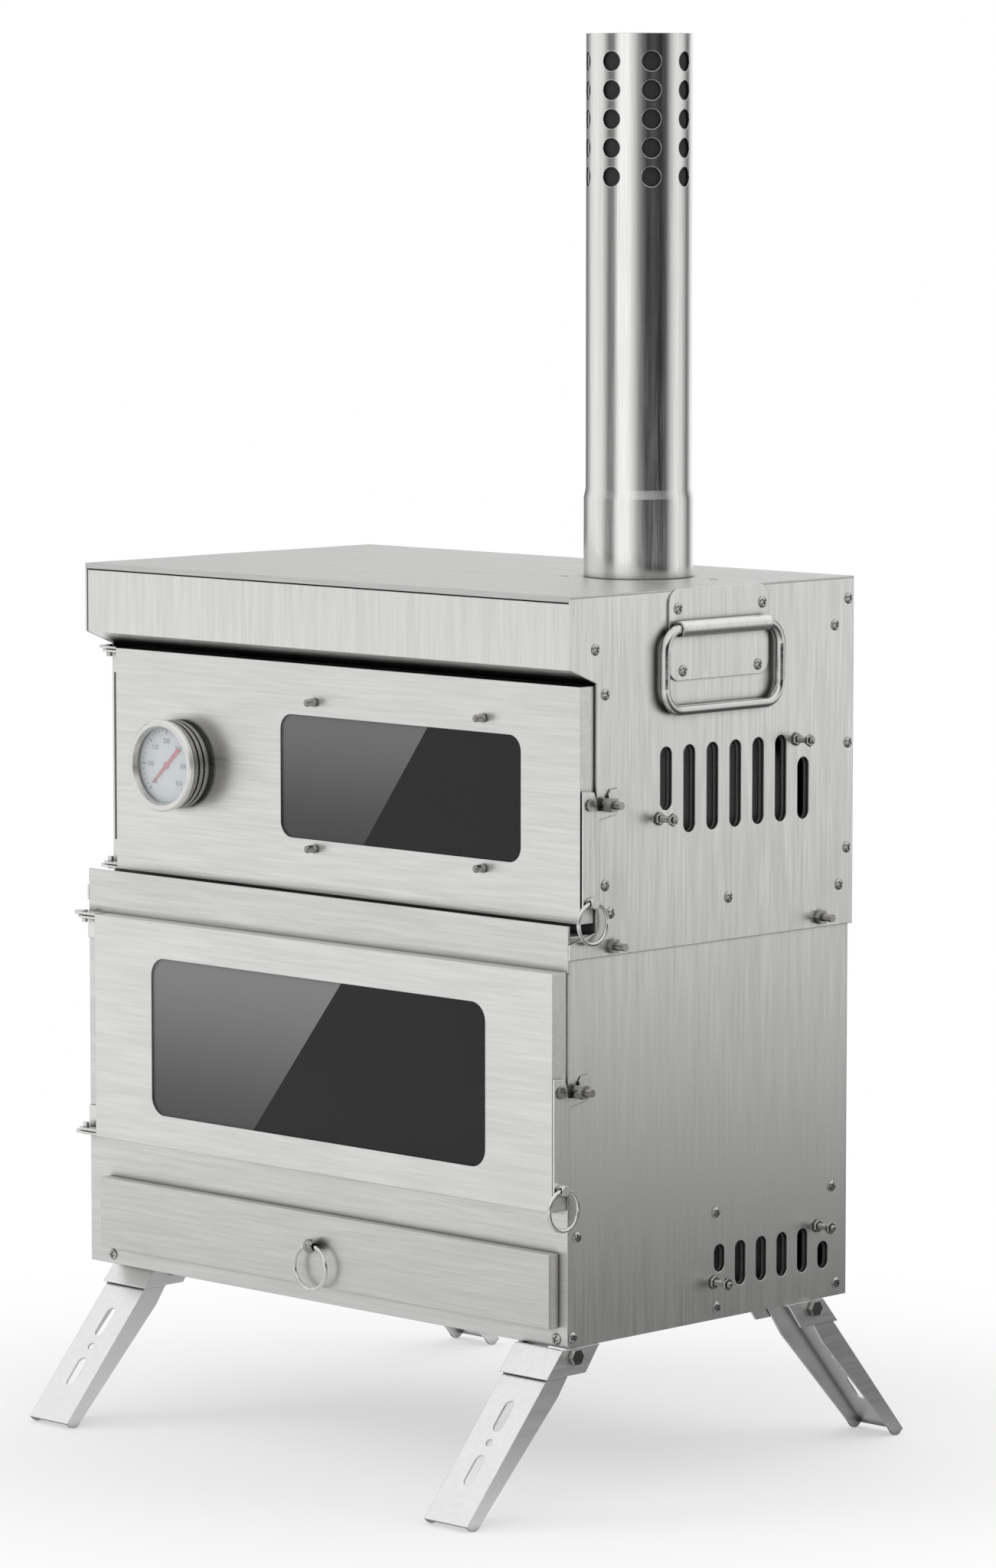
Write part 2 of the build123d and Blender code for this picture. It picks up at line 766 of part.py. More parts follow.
with BuildPart() as shutter_lower_right:
    shutter(lower_inner, vent_first_lower, vent_pitch_lower, vent_width_lower, lower_vent_count,
            vent_low_lower, vent_high_lower, guide_spots_lower, lower_slots)
keep(shutter_lower_right, "shutter_lower_right")

with BuildPart() as shutter_lower_left:
    mirror(shutter_lower_right.part, about=Plane.YZ)
keep(shutter_lower_left, "shutter_lower_left")


def bolts(spots, start, length, radius):
    """Round shanks along X from X = start, one at each (Y, Z)."""
    with BuildSketch(Plane.YZ.offset(start)) as shanks:
        with Locations(*spots):
            Circle(radius)
    extrude(shanks.sketch, amount=length)


def nuts(spots, start, length, radius):
    """Hexagon nuts along X from X = start, one at each (Y, Z)."""
    with BuildSketch(Plane.YZ.offset(start)) as hexagons:
        with Locations(*spots):
            RegularPolygon(radius, 6)
    extrude(hexagons.sketch, amount=length)


# Guide studs with an inner head that carries the shutter and two nuts outside
with BuildPart() as guide_studs:
    for spots, inner in ((guide_spots_upper, upper_inner), (guide_spots_lower, lower_inner)):
        head = inner - 2 * shutter_gap - shutter_sheet
        bolts(spots, head - guide_head, guide_head, guide_nut)
        bolts(spots, head, inner + sheet + guide_proud - head, guide_radius)
        nuts(spots, inner + sheet, guide_nut_height, guide_nut)
        nuts(spots, inner + sheet + guide_proud - 2 * guide_nut_height, guide_nut_height, guide_nut)
    mirror(about=Plane.YZ)
keep(guide_studs, "guide_studs")

# Side bolts: those that join the two modules, and the latch posts on the right side
with BuildPart() as side_bolts:
    nuts(module_spots, lower_inner - nut_height, nut_height, post_nut)
    module_start = lower_inner - nut_height
    bolts(module_spots, module_start, upper_half + module_proud - module_start, post_radius)
    nuts(module_spots, upper_half, nut_height, post_nut)
    mirror(about=Plane.YZ)
    for spot, inner in ((oven_post, upper_inner), (fire_post, lower_inner)):
        bolts([spot], inner, sheet + post_proud, post_radius)
        nuts([spot], inner + sheet + 2 * lever + clearance, post_nut_height, post_nut)
keep(side_bolts, "side_bolts")

# Casing screws on both sides
with BuildPart() as casing_screws:
    bolts(screws_upper, upper_half, screw_height, screw_radius)
    bolts(screws_handle, upper_half + sheet, screw_height, screw_radius)
    bolts(screws_lower, lower_half, screw_height, screw_radius)
    mirror(about=Plane.YZ)
keep(casing_screws, "casing_screws")


def door_ears(left, pin_y, low, high):
    """The two ears of a door, folded out of its pan and round at the pin."""
    for level in (low, high - sheet):
        with BuildSketch(Plane.XY.offset(level)) as ear:
            with Locations((hinge_x, pin_y)):
                Circle(door_ear)
            rectangle(hinge_x, left + pan_edge, pin_y - door_ear, pin_y + door_ear)
            with Locations((hinge_x, pin_y)):
                Circle(hinge_pin + pin_gap, mode=Mode.SUBTRACT)
        extrude(ear.sketch, amount=sheet)


def door_brackets(left, pin_y, face, low, high):
    """The two brackets that a door hangs on: a leaf on the casing and an ear round the pin."""
    for leaf_low, level in ((low, low), (high - leaf_height, high - sheet)):
        with BuildSketch(Plane.XZ.offset(-face)) as leaf:
            rectangle(hinge_x - leaf_beyond_pin, left - leaf_gap, leaf_low, leaf_low + leaf_height)
        extrude(leaf.sketch, amount=sheet)
        with BuildSketch(Plane.XY.offset(level)) as ear:
            Polygon(
                (left - leaf_gap, face),
                (left - leaf_gap, pin_y - door_ear),
                (hinge_x - hinge_ear / 2, pin_y - door_ear),
                (hinge_x - hinge_ear, pin_y),
                (hinge_x - hinge_ear, face - sheet),
                (hinge_x - leaf_beyond_pin, face),
            )
            with Locations((hinge_x, pin_y)):
                Circle(hinge_pin, mode=Mode.SUBTRACT)
        extrude(ear.sketch, amount=sheet)


# Hinges of the two doors
oven_pin_y = recess_face - sheet - door_ear - 0.5
fire_pin_y = front - sheet - door_ear - 0.5
oven_ears = (oven_bottom - 0.5, oven_top + 0.5)
fire_ears = (fire_bottom, fire_top)
with BuildPart() as hinge_brackets:
    door_brackets(oven_left, oven_pin_y, recess_face, *oven_ears)
    door_brackets(fire_left, fire_pin_y, front, *fire_ears)
keep(hinge_brackets, "hinge_brackets")

with BuildPart() as hinge_pins:
    for pin_y, (low, high) in ((oven_pin_y, oven_ears), (fire_pin_y, fire_ears)):
        for start in (low - 1.0, high + 1.0 - pin_length):
            with BuildSketch(Plane.XY.offset(start)):
                with Locations((hinge_x, pin_y)):
                    Circle(hinge_pin)
            extrude(amount=pin_length)
keep(hinge_pins, "hinge_pins")

# Oven door: a folded pan with its window, thermometer hole, stud holes and ears
oven_face = recess_face - clearance - oven_door_depth
stud_x = (oven_window[0] + stud_inset, oven_window[1] - stud_inset)
stud_z = (oven_window[2] - stud_below, oven_window[3] + stud_above)
oven_pivot = (oven_post[0] + lever_pivot[0], oven_post[1] + lever_pivot[1])
fire_pivot = (fire_post[0] + lever_pivot[0], fire_post[1] + lever_pivot[1])
with BuildPart() as oven_door_pan:
    tray(oven_left, oven_right, oven_bottom, oven_top, oven_face, oven_door_depth, pan_edge)
    window(oven_window, oven_window_radius, oven_face, oven_door_depth)
    with BuildSketch(Plane.XZ.offset(-oven_face - oven_door_depth)):
        with Locations((gauge_x, gauge_z)):
            Circle(probe_radius)
        with Locations(*[(x, z) for x in stud_x for z in stud_z]):
            Circle(stud_radius)
    extrude(amount=oven_door_depth, mode=Mode.SUBTRACT)
    with BuildSketch(Plane.YZ.offset(oven_right - pan_edge)):
        with Locations(oven_pivot):
            Circle(rivet_radius)
    extrude(amount=pan_edge, mode=Mode.SUBTRACT)
    door_ears(oven_left, oven_pin_y, oven_ears[0] + sheet + ear_gap, oven_ears[1] - sheet - ear_gap)
keep(oven_door_pan, "oven_door_pan")


def pane(bounds, face, lap, side_lap):
    """The glass behind a window, lapping the pan above, below and at the sides."""
    left, right, low, high = bounds
    with BuildSketch(Plane.XZ.offset(-face - pan_edge)) as sheet_of_glass:
        rectangle(left - side_lap, right + side_lap, low - lap, high + lap)
    extrude(sheet_of_glass.sketch, amount=-glass)


def clamp(bounds, radius, face, reach):
    """The plate that holds a pane against the pan, open over the window."""
    left, right, low, high = bounds
    with BuildSketch(Plane.XZ.offset(-face - pan_edge - glass)) as frame:
        rectangle(left - clamp_side, right + clamp_side, low - reach, high + reach)
        with Locations(((left + right) / 2, (low + high) / 2)):
            RectangleRounded(right - left, high - low, radius, mode=Mode.SUBTRACT)
    extrude(frame.sketch, amount=-sheet)


with BuildPart() as oven_glass:
    pane(oven_window, oven_face, glass_lap, glass_side_lap)
keep(oven_glass, "oven_glass")

with BuildPart() as oven_glass_clamp:
    clamp(oven_window, oven_window_radius, oven_face, clamp_reach)
    with BuildSketch(Plane.XZ.offset(-oven_face - pan_edge - glass)):
        with Locations(*[(x, z) for x in stud_x for z in stud_z]):
            Circle(stud_radius)
    extrude(amount=-sheet, mode=Mode.SUBTRACT)
keep(oven_glass_clamp, "oven_glass_clamp")

# Studs that clamp the oven glass, with a nut in front and behind
clamp_rear = oven_face + pan_edge + glass + sheet
with BuildPart() as oven_window_studs:
    with BuildSketch(Plane.XZ.offset(-oven_face + stud_proud)):
        with Locations(*[(x, z) for x in stud_x for z in stud_z]):
            Circle(stud_radius)
    extrude(amount=-(clamp_rear + stud_nut_height - oven_face + stud_proud))
    for start in (oven_face, clamp_rear + stud_nut_height):
        with BuildSketch(Plane.XZ.offset(-start)):
            with Locations(*[(x, z) for x in stud_x for z in stud_z]):
                RegularPolygon(stud_nut, 6)
        extrude(amount=stud_nut_height)
keep(oven_window_studs, "oven_window_studs")

# Thermometer: ribbed case with its probe, bezel, dial, lens and needle
gauge_axis = Axis((gauge_x, 0, gauge_z), (0, 1, 0))
gauge_plane = Plane(origin=(gauge_x, oven_face, gauge_z), x_dir=(1, 0, 0), z_dir=(0, 0, -1))
dial_front = gauge_proud - bezel_depth - lens_depth
rib = 3.0
with BuildPart() as gauge_case:
    with BuildSketch(gauge_plane):
        rectangle(0, groove_radius, 0, dial_front - dial_thickness)
        rectangle(dial_radius, groove_radius, 0, gauge_proud - bezel_depth)
        for index in range(3):
            top = gauge_proud - bezel_depth - index * (rib + groove_width) - groove_width
            rectangle(dial_radius, case_radius, top - rib, top)
        rectangle(0, probe_radius, -probe_length, 0)
    revolve(axis=gauge_axis)
keep(gauge_case, "gauge_case")

with BuildPart() as gauge_bezel:
    with BuildSketch(gauge_plane):
        Polygon(
            (gauge_radius, gauge_proud - bezel_depth),
            (gauge_radius, gauge_proud - 1.0),
            (gauge_radius - 1.0, gauge_proud),
            (gauge_radius - bezel_lip + 1.5, gauge_proud),
            (gauge_radius - bezel_lip, gauge_proud - bezel_depth),
        )
    revolve(axis=gauge_axis)
keep(gauge_bezel, "gauge_bezel")

with BuildPart() as gauge_dial:
    with BuildSketch(Plane.XZ.offset(-oven_face + dial_front - dial_thickness)):
        with Locations((gauge_x, gauge_z)):
            Circle(dial_radius)
    extrude(amount=dial_thickness)
keep(gauge_dial, "gauge_dial")

with BuildPart() as gauge_lens:
    with BuildSketch(Plane.XZ.offset(-oven_face + gauge_proud - bezel_depth - lens_thickness)):
        with Locations((gauge_x, gauge_z)):
            Circle(dial_radius)
    extrude(amount=lens_thickness)
keep(gauge_lens, "gauge_lens")

with BuildPart() as gauge_needle:
    needle_turn = math.radians(needle_rest)
    needle_plane = Plane(
        origin=(gauge_x, oven_face - dial_front - clearance, gauge_z),
        x_dir=(math.cos(needle_turn), 0, -math.sin(needle_turn)),
        z_dir=(0, -1, 0),
    )
    with BuildSketch(needle_plane):
        Circle(needle_hub)
        Polygon(
            (-needle_half / 2.6, -needle_tail),
            (needle_half / 2.6, -needle_tail),
            (needle_half, needle_length),
            (-needle_half, needle_length),
        )
    extrude(amount=needle_thickness)
keep(gauge_needle, "gauge_needle")

# Fire door
fire_face = front - clearance - fire_door_depth
with BuildPart() as fire_door_pan:
    tray(fire_left, fire_right, fire_bottom, fire_top, fire_face, fire_door_depth, pan_edge)
    window(fire_window, fire_window_radius, fire_face, fire_door_depth)
    with BuildSketch(Plane.YZ.offset(fire_right - pan_edge)):
        with Locations(fire_pivot):
            Circle(rivet_radius)
    extrude(amount=pan_edge, mode=Mode.SUBTRACT)
    door_ears(fire_left, fire_pin_y, fire_ears[0] + sheet + ear_gap, fire_ears[1] - sheet - ear_gap)
keep(fire_door_pan, "fire_door_pan")

with BuildPart() as fire_glass:
    pane(fire_window, fire_face, glass_side_lap, glass_side_lap)
keep(fire_glass, "fire_glass")

with BuildPart() as fire_glass_clamp:
    clamp(fire_window, fire_window_radius, fire_face, clamp_side)
keep(fire_glass_clamp, "fire_glass_clamp")


def latch(post, panel):
    """A latch lever that hangs outside the panel, hooks under its post and ends in an eye."""
    post_y, post_z = post
    outline = [(post_y + y, post_z + z) for y, z in lever_outline]
    with BuildSketch(Plane.YZ.offset(panel + clearance)) as blade:
        Polygon(*outline)
        with Locations((post_y + lever_pivot[0], post_z + lever_pivot[1])):
            Circle(rivet_radius + pin_gap, mode=Mode.SUBTRACT)
    extrude(blade.sketch, amount=lever)
    eye_y = post_y + lever_eye[0]
    eye_z = post_z + lever_eye[1]
    with BuildSketch(Plane.YZ.offset(panel + clearance + lever)) as boss:
        with Locations((eye_y, eye_z)):
            Circle(eye_radius)
    extrude(boss.sketch, amount=eye_height)
    with BuildSketch(Plane.XZ.offset(-eye_y)) as passage:
        with Locations((panel + clearance + lever + eye_height / 2, eye_z)):
            Circle(ring_wire + ring_slack)
    extrude(passage.sketch, amount=2 * eye_radius, both=True, mode=Mode.SUBTRACT)


def rivet(pivot, wall, panel):
    """A latch rivet: shank through the door's edge, a collar behind the lever and a head before it."""
    bolts([pivot], wall - pan_edge, panel + 2 * clearance + lever - wall + pan_edge, rivet_radius)
    bolts([pivot], wall, panel - wall, rivet_head)
    bolts([pivot], panel + 2 * clearance + lever, screw_height, rivet_head)


# Latches
with BuildPart() as oven_latch:
    latch(oven_post, upper_half)
keep(oven_latch, "oven_latch")

with BuildPart() as oven_latch_rivet:
    rivet(oven_pivot, oven_right, upper_half)
keep(oven_latch_rivet, "oven_latch_rivet")

with BuildPart() as fire_latch:
    latch(fire_post, lower_half)
keep(fire_latch, "fire_latch")

with BuildPart() as fire_latch_rivet:
    rivet(fire_pivot, fire_right, lower_half)
keep(fire_latch_rivet, "fire_latch_rivet")


def door_pull(post, panel):
    """A ring that hangs in the eye of a latch."""
    centre = (panel + clearance + lever + eye_height / 2,
              post[0] + lever_eye[0],
              post[1] + lever_eye[1] + ring_lift - door_ring)
    with Locations(Location(centre, (0, 90, 0))):
        Torus(door_ring, ring_wire)


# Ring pulls
with BuildPart() as oven_ring:
    door_pull(oven_post, upper_half)
keep(oven_ring, "oven_ring")

with BuildPart() as fire_ring:
    door_pull(fire_post, lower_half)
keep(fire_ring, "fire_ring")

# Ash drawer: folded front, tray, and the ball eye with its ring
drawer_face = front - clearance - drawer_depth
with BuildPart() as drawer_front:
    tray(drawer_left, drawer_right, drawer_bottom, drawer_top, drawer_face, drawer_depth, pan_edge)
keep(drawer_front, "drawer_front")

tray_left = drawer_left + drawer_margin + 1.0
tray_right = drawer_right - drawer_margin - 1.0
tray_front = drawer_face + pan_edge
with BuildPart() as ash_tray:
    with BuildSketch(Plane.XY.offset(tray_bottom)):
        rectangle(tray_left, tray_right, tray_front, tray_front + tray_length)
    extrude(amount=tray_height)
    with BuildSketch(Plane.XY.offset(tray_bottom + tray_wall)):
        rectangle(tray_left + tray_wall, tray_right - tray_wall,
                  tray_front + tray_wall, tray_front + tray_length - tray_wall)
    extrude(amount=tray_height, mode=Mode.SUBTRACT)
keep(ash_tray, "ash_tray")

eye_y = drawer_face - drawer_eye_proud
eye_plane = Plane(origin=(drawer_eye[0], eye_y, drawer_eye[1]), x_dir=(1, 0, 0), z_dir=(0, 0, 1))
with BuildPart() as drawer_ring_eye:
    with BuildSketch(eye_plane):
        Circle(drawer_ball)
        rectangle(0, rivet_radius, 0, drawer_eye_proud)
        rectangle(-2 * drawer_ball, 0, -2 * drawer_ball, 2 * drawer_ball, mode=Mode.SUBTRACT)
    revolve(axis=Axis(eye_plane.origin, (0, 1, 0)))
    with BuildSketch(Plane.YZ.offset(drawer_eye[0])):
        with Locations((eye_y, drawer_eye[1])):
            Circle(ring_wire + 2 * ring_slack)
    extrude(amount=2 * drawer_ball, both=True, mode=Mode.SUBTRACT)
keep(drawer_ring_eye, "drawer_ring_eye")

with BuildPart() as drawer_ring_pull:
    with Locations(Location((drawer_eye[0], eye_y, drawer_eye[1] + ring_lift - drawer_ring), (90, 0, 0))):
        Torus(drawer_ring, ring_wire)
keep(drawer_ring_pull, "drawer_ring")

# Legs. In the plane of a leg s runs down it from its pivot and n points out of its web
lean = math.radians(leg_lean)
pivot_z = base_bottom - pivot_drop
free_edge = pivot_to_web - flange_foot
leg_end = foot_radius + (pivot_z + math.sin(lean) * (free_edge + foot_radius) - foot_radius) / math.cos(lean)


def leg_plane(x, end, pivot_y):
    """The plane of a leg with its origin on the pivot, at the given X."""
    return Plane(
        origin=(x, end * pivot_y, pivot_z),
        x_dir=(0, end * math.sin(lean), -math.cos(lean)),
        z_dir=(end, 0, 0),
    )


def leg(side, end, pivot_y):
    """A channel leg: two tapered flanges, a slotted web and a rounded foot."""
    start = side * leg_x - end * leg_width / 2
    with BuildSketch(leg_plane(start, end, pivot_y)) as outline:
        Polygon(
            (3.0, pivot_to_web),
            (-2.5, 4.0),
            (-4.5, 0.0),
            (-2.0, -4.0),
            (26.0, pivot_to_web - flange_wide),
            (leg_end - 2 * foot_radius, free_edge),
            (leg_end, free_edge),
            (leg_end, pivot_to_web),
        )
        fillet(outline.vertices().sort_by(Axis.X)[-2:].sort_by(Axis.Y)[0], foot_radius)
    extrude(outline.sketch, amount=leg_width)
    with BuildSketch(leg_plane(start + end * sheet, end, pivot_y)) as hollow:
        rectangle(-2 * foot_radius, 2 * leg_end, -flange_wide, pivot_to_web - sheet)
    extrude(hollow.sketch, amount=leg_width - 2 * sheet, mode=Mode.SUBTRACT)
    with BuildSketch(leg_plane(start, end, pivot_y)) as pivot:
        Circle(bolt_radius + pin_gap)
    extrude(pivot.sketch, amount=leg_width, mode=Mode.SUBTRACT)
    web_plane = Plane(
        origin=(side * leg_x, end * pivot_y, pivot_z),
        x_dir=(0, end * math.sin(lean), -math.cos(lean)),
        z_dir=(0, end * math.cos(lean), math.sin(lean)),
    )
    with BuildSketch(web_plane) as slots:
        for low, high in leg_slots:
            with Locations(((low + high) / 2, 0)):
                SlotOverall(high - low, leg_slot)
        with Locations((leg_hole, 0)):
            Circle(bolt_radius)
    extrude(slots.sketch, amount=2 * pivot_to_web, mode=Mode.SUBTRACT)


def leg_bracket(side, end, pivot_y):
    """A bracket under the base: two ears, the sloping stop plate and a short flange behind the pivot."""
    stop_near = pivot_to_web + clearance
    stop_far = stop_near + sheet
    stop_top = (stop_far * math.sin(lean) - pivot_drop) / math.cos(lean)
    stop_low = (stop_far * math.sin(lean) + bracket_drop - pivot_drop) / math.cos(lean)
    half = leg_width / 2 + clearance
    reach = math.sin(lean) * stop_top + math.cos(lean) * stop_far
    tip = math.sin(lean) * stop_low + math.cos(lean) * stop_far
    ear_low = pivot_drop - bracket_drop
    inner_top = reach - bracket_length
    inner_low = inner_top + bracket_slant
    start = side * leg_x - end * (half + sheet)
    side_plane = Plane(origin=(start, end * pivot_y, pivot_z), x_dir=(0, end, 0), z_dir=(end, 0, 0))
    with BuildSketch(side_plane) as ears:
        Polygon(
            (inner_top, pivot_drop),
            (reach, pivot_drop),
            (tip, ear_low),
            (inner_low, ear_low),
        )
        Circle(bolt_radius, mode=Mode.SUBTRACT)
    extrude(ears.sketch, amount=2 * (half + sheet))
    with BuildSketch(leg_plane(start + end * sheet, end, pivot_y)) as room:
        rectangle(-2 * bracket_length, 2 * bracket_length, -2 * bracket_length, stop_near)
    extrude(room.sketch, amount=2 * half, mode=Mode.SUBTRACT)
    with BuildSketch(side_plane) as top:
        rectangle(inner_top, inner_top + bracket_top, pivot_drop - 1.0, pivot_drop)
    extrude(top.sketch, amount=2 * (half + sheet))


leg_places = ((1, -1, far_pivot), (-1, -1, near_pivot), (1, 1, near_pivot), (-1, 1, far_pivot))

with BuildPart() as leg_brackets:
    for side, end, pivot_y in leg_places:
        leg_bracket(side, end, pivot_y)
keep(leg_brackets, "leg_brackets")

with BuildPart() as leg_bolts:
    for side, end, pivot_y in leg_places:
        spot = [(end * pivot_y, pivot_z)]
        reach = leg_width / 2 + clearance + sheet
        bolts(spot, side * leg_x - reach, 2 * reach, bolt_radius)
        nuts(spot, side * leg_x - reach - nut_height, nut_height, bolt_nut)
        nuts(spot, side * leg_x + reach, nut_height, bolt_nut)
keep(leg_bolts, "leg_bolts")

with BuildPart() as leg_front_right:
    leg(*leg_places[0])
keep(leg_front_right, "leg_front_right")

with BuildPart() as leg_front_left:
    leg(*leg_places[1])
keep(leg_front_left, "leg_front_left")

with BuildPart() as leg_rear_right:
    leg(*leg_places[2])
keep(leg_rear_right, "leg_rear_right")

with BuildPart() as leg_rear_left:
    leg(*leg_places[3])
keep(leg_rear_left, "leg_rear_left")
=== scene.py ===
import math

import bmesh
import bpy
from mathutils import Matrix, Vector


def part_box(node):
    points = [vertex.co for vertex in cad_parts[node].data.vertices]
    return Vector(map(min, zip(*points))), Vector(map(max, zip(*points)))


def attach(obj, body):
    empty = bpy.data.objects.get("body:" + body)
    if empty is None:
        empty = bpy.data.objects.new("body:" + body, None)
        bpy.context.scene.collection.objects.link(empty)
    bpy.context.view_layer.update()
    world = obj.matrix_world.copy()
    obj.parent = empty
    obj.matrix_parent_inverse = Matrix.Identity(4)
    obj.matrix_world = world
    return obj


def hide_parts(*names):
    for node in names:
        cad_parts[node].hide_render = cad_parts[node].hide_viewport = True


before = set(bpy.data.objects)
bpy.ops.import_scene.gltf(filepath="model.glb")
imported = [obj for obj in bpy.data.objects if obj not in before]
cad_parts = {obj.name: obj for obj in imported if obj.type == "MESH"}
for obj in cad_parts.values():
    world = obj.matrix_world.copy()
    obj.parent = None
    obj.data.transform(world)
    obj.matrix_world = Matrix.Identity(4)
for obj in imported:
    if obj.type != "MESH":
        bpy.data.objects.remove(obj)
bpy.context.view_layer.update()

# The studio. A camera with a long lens stands to the right of the doors, a little above the
# cooktop. The floor is pale paper that fades into a white background; in the steel it glows as a
# painted reflection with painted shade near the stove. The steel also mirrors a row of upright
# softboxes.
scene = bpy.context.scene
scene.view_settings.view_transform = "Standard"
camera_turn, camera_tilt = math.radians(44.388), math.radians(5.969)
camera = bpy.data.objects.new("camera", bpy.data.cameras.new("camera"))
scene.collection.objects.link(camera)
camera.location = (2.7883, -2.8167, 0.8406)
camera.rotation_euler = (math.radians(90) - camera_tilt, 0, camera_turn)
camera.data.sensor_width = 36.0
camera.data.lens = 140.44
camera.data.clip_start, camera.data.clip_end = 0.05, 60.0
scene.camera = camera


class Wire:
    """One socket of a shader, so that its maths reads as plain expressions."""

    def __init__(self, tree, socket=None):
        self.tree, self.socket = tree, socket

    def add(self, kind, settings=None, inputs=None, output=0):
        """A node of the given type with its settings made first, then its values and links."""
        node = self.tree.nodes.new(kind)
        for key, value in (settings or {}).items():
            if key == "stops":
                ramp = node.color_ramp
                while len(ramp.elements) < len(value):
                    ramp.elements.new(0.5)
                for element, (place, shade) in zip(ramp.elements, value):
                    element.position = place
                    element.color = shade
            else:
                setattr(node, key, value)
        for key, value in (inputs or {}).items():
            if isinstance(value, Wire):
                self.tree.links.new(value.socket, node.inputs[key])
            else:
                node.inputs[key].default_value = value
        return Wire(self.tree, node.outputs[output] if len(node.outputs) else None)

    def maths(self, operation, *values):
        return self.add("ShaderNodeMath", {"operation": operation}, dict(enumerate(values)))

    def __add__(self, other):
        return self.maths("ADD", self, other)

    def __radd__(self, other):
        return self.maths("ADD", other, self)

    def __sub__(self, other):
        return self.maths("SUBTRACT", self, other)

    def __rsub__(self, other):
        return self.maths("SUBTRACT", other, self)

    def __mul__(self, other):
        return self.maths("MULTIPLY", self, other)

    def __rmul__(self, other):
        return self.maths("MULTIPLY", other, self)

    def __truediv__(self, other):
        return self.maths("DIVIDE", self, other)

    def between(self, low, high, out_low=0.0, out_high=1.0):
        """This value carried smoothly from one range to another."""
        return self.add("ShaderNodeMapRange", {"interpolation_type": "SMOOTHSTEP"},
                        {0: self, 1: low, 2: high, 3: out_low, 4: out_high})

    def parts(self):
        """The X, Y and Z of a vector."""
        node = self.tree.nodes.new("ShaderNodeSeparateXYZ")
        self.tree.links.new(self.socket, node.inputs[0])
        return [Wire(self.tree, socket) for socket in node.outputs]

    def blend(self, low, high):
        """A colour between two others, with this value as the factor."""
        return self.add("ShaderNodeMix", {"data_type": "RGBA"}, {0: self, 6: low, 7: high}, output=2)


def grey(value):
    return (value, value, value, 1.0)


world = bpy.data.worlds.new("studio")
scene.world = world
world.use_nodes = True
world.node_tree.nodes.clear()
sky = Wire(world.node_tree)
heading_x, heading_y, heading_z = sky.add("ShaderNodeTexCoord").parts()
toward = heading_x * math.sin(camera_turn) - heading_y * math.cos(camera_turn)
sideways = heading_x * math.cos(camera_turn) + heading_y * math.sin(camera_turn)
turn = sideways.maths("ARCTAN2", sideways, toward) / math.tau + 0.5
softboxes = turn.add("ShaderNodeValToRGB", {"stops": [
    (0.00, grey(0.70)), (0.05, grey(0.18)), (0.10, grey(0.30)), (0.15, grey(0.80)),
    (0.20, grey(0.90)), (0.26, grey(0.74)), (0.305, grey(0.16)), (0.340, grey(0.22)),
    (0.370, grey(1.0)), (0.43, grey(1.0)), (0.47, grey(0.60)), (0.50, grey(0.22)),
    (0.545, grey(0.03)), (0.585, grey(0.07)), (0.625, grey(0.02)), (0.665, grey(0.08)),
    (0.70, grey(0.55)), (0.740, grey(0.88)), (0.79, grey(0.72)), (0.85, grey(0.12)),
    (0.93, grey(1.0)), (1.00, grey(0.70))]}, {0: turn})
overhead = heading_z.between(0.22, 0.55)
reflected = overhead.blend(softboxes, grey(0.96))
seen = sky.add("ShaderNodeLightPath", output=0)
glossy = sky.add("ShaderNodeLightPath", output=3)
shown = seen.blend(glossy.blend(grey(0.84), reflected), grey(1.0))
sky.add("ShaderNodeOutputWorld", {}, {0: sky.add("ShaderNodeBackground", {}, {0: shown, 1: 1.0})})

for label, place, size, energy in (("left_box", (-2.6, -2.4, 2.2), 1.8, 30.0),
                                   ("right_box", (2.6, 1.6, 2.0), 1.4, 10.0)):
    lamp = bpy.data.objects.new(label, bpy.data.lights.new(label, "AREA"))
    scene.collection.objects.link(lamp)
    lamp.data.size, lamp.data.energy = size, energy
    lamp.location = place
    lamp.rotation_euler = (Vector((0, 0, 0.3)) - Vector(place)).to_track_quat("-Z", "Y").to_euler()
    lamp.visible_glossy = False

floor_mesh = bpy.data.meshes.new("floor")
floor_form = bmesh.new()
bmesh.ops.create_circle(floor_form, cap_ends=True, segments=96, radius=5.4)
floor_form.to_mesh(floor_mesh)
floor_form.free()
floor = bpy.data.objects.new("floor", floor_mesh)
scene.collection.objects.link(floor)
paper = bpy.data.materials.new("studio_paper")
paper.use_nodes = True
paper.node_tree.nodes.clear()
page = Wire(paper.node_tree)
page_x, page_y = page.add("ShaderNodeTexCoord", output=3).parts()[:2]
reach = page.maths("SQRT", page_x * page_x + page_y * page_y)
# For glossy rays the floor glows as a painted reflection: painted shade, darkest close to the stove on the
# right side and paler further out, and a pale glow on the other sides.
right_side = (page_x * 0.7 + page_y * 0.7).between(0.0, 0.5)
right_painted_shade = reach.between(0.35, 3.6, 0.06, 0.82) * right_side
painted_floor_reflection = right_painted_shade + (1.0 - right_side) * reach.between(0.2, 1.6, 0.62, 0.94)
page_diffuse = page.add("ShaderNodeBsdfDiffuse", {}, {0: grey(0.92)})
page_seen = page.add("ShaderNodeEmission", {}, {0: grey(1.0), 1: 1.0})
painted_reflection_glow = page.add("ShaderNodeEmission", {}, {0: painted_floor_reflection.blend(grey(0.0), grey(1.0)), 1: 1.0})
page_camera = page.add("ShaderNodeLightPath", output=0)
page_glossy = page.add("ShaderNodeLightPath", output=3)
page_mix = page.add("ShaderNodeMixShader", {}, {
    0: reach.between(0.20, 0.66, 0.40, 1.0) * page_camera, 1: page_diffuse, 2: page_seen})
page_mix = page.add("ShaderNodeMixShader", {}, {0: page_glossy, 1: page_mix, 2: painted_reflection_glow})
page.add("ShaderNodeOutputMaterial", {}, {0: page_mix})
floor_mesh.materials.append(paper)

# Casing. Folded stainless sheet with a brushed finish, lapped at the corners and screwed. The
# grain runs upright on the sides, the back and the hood, and level on the frame and the cover.


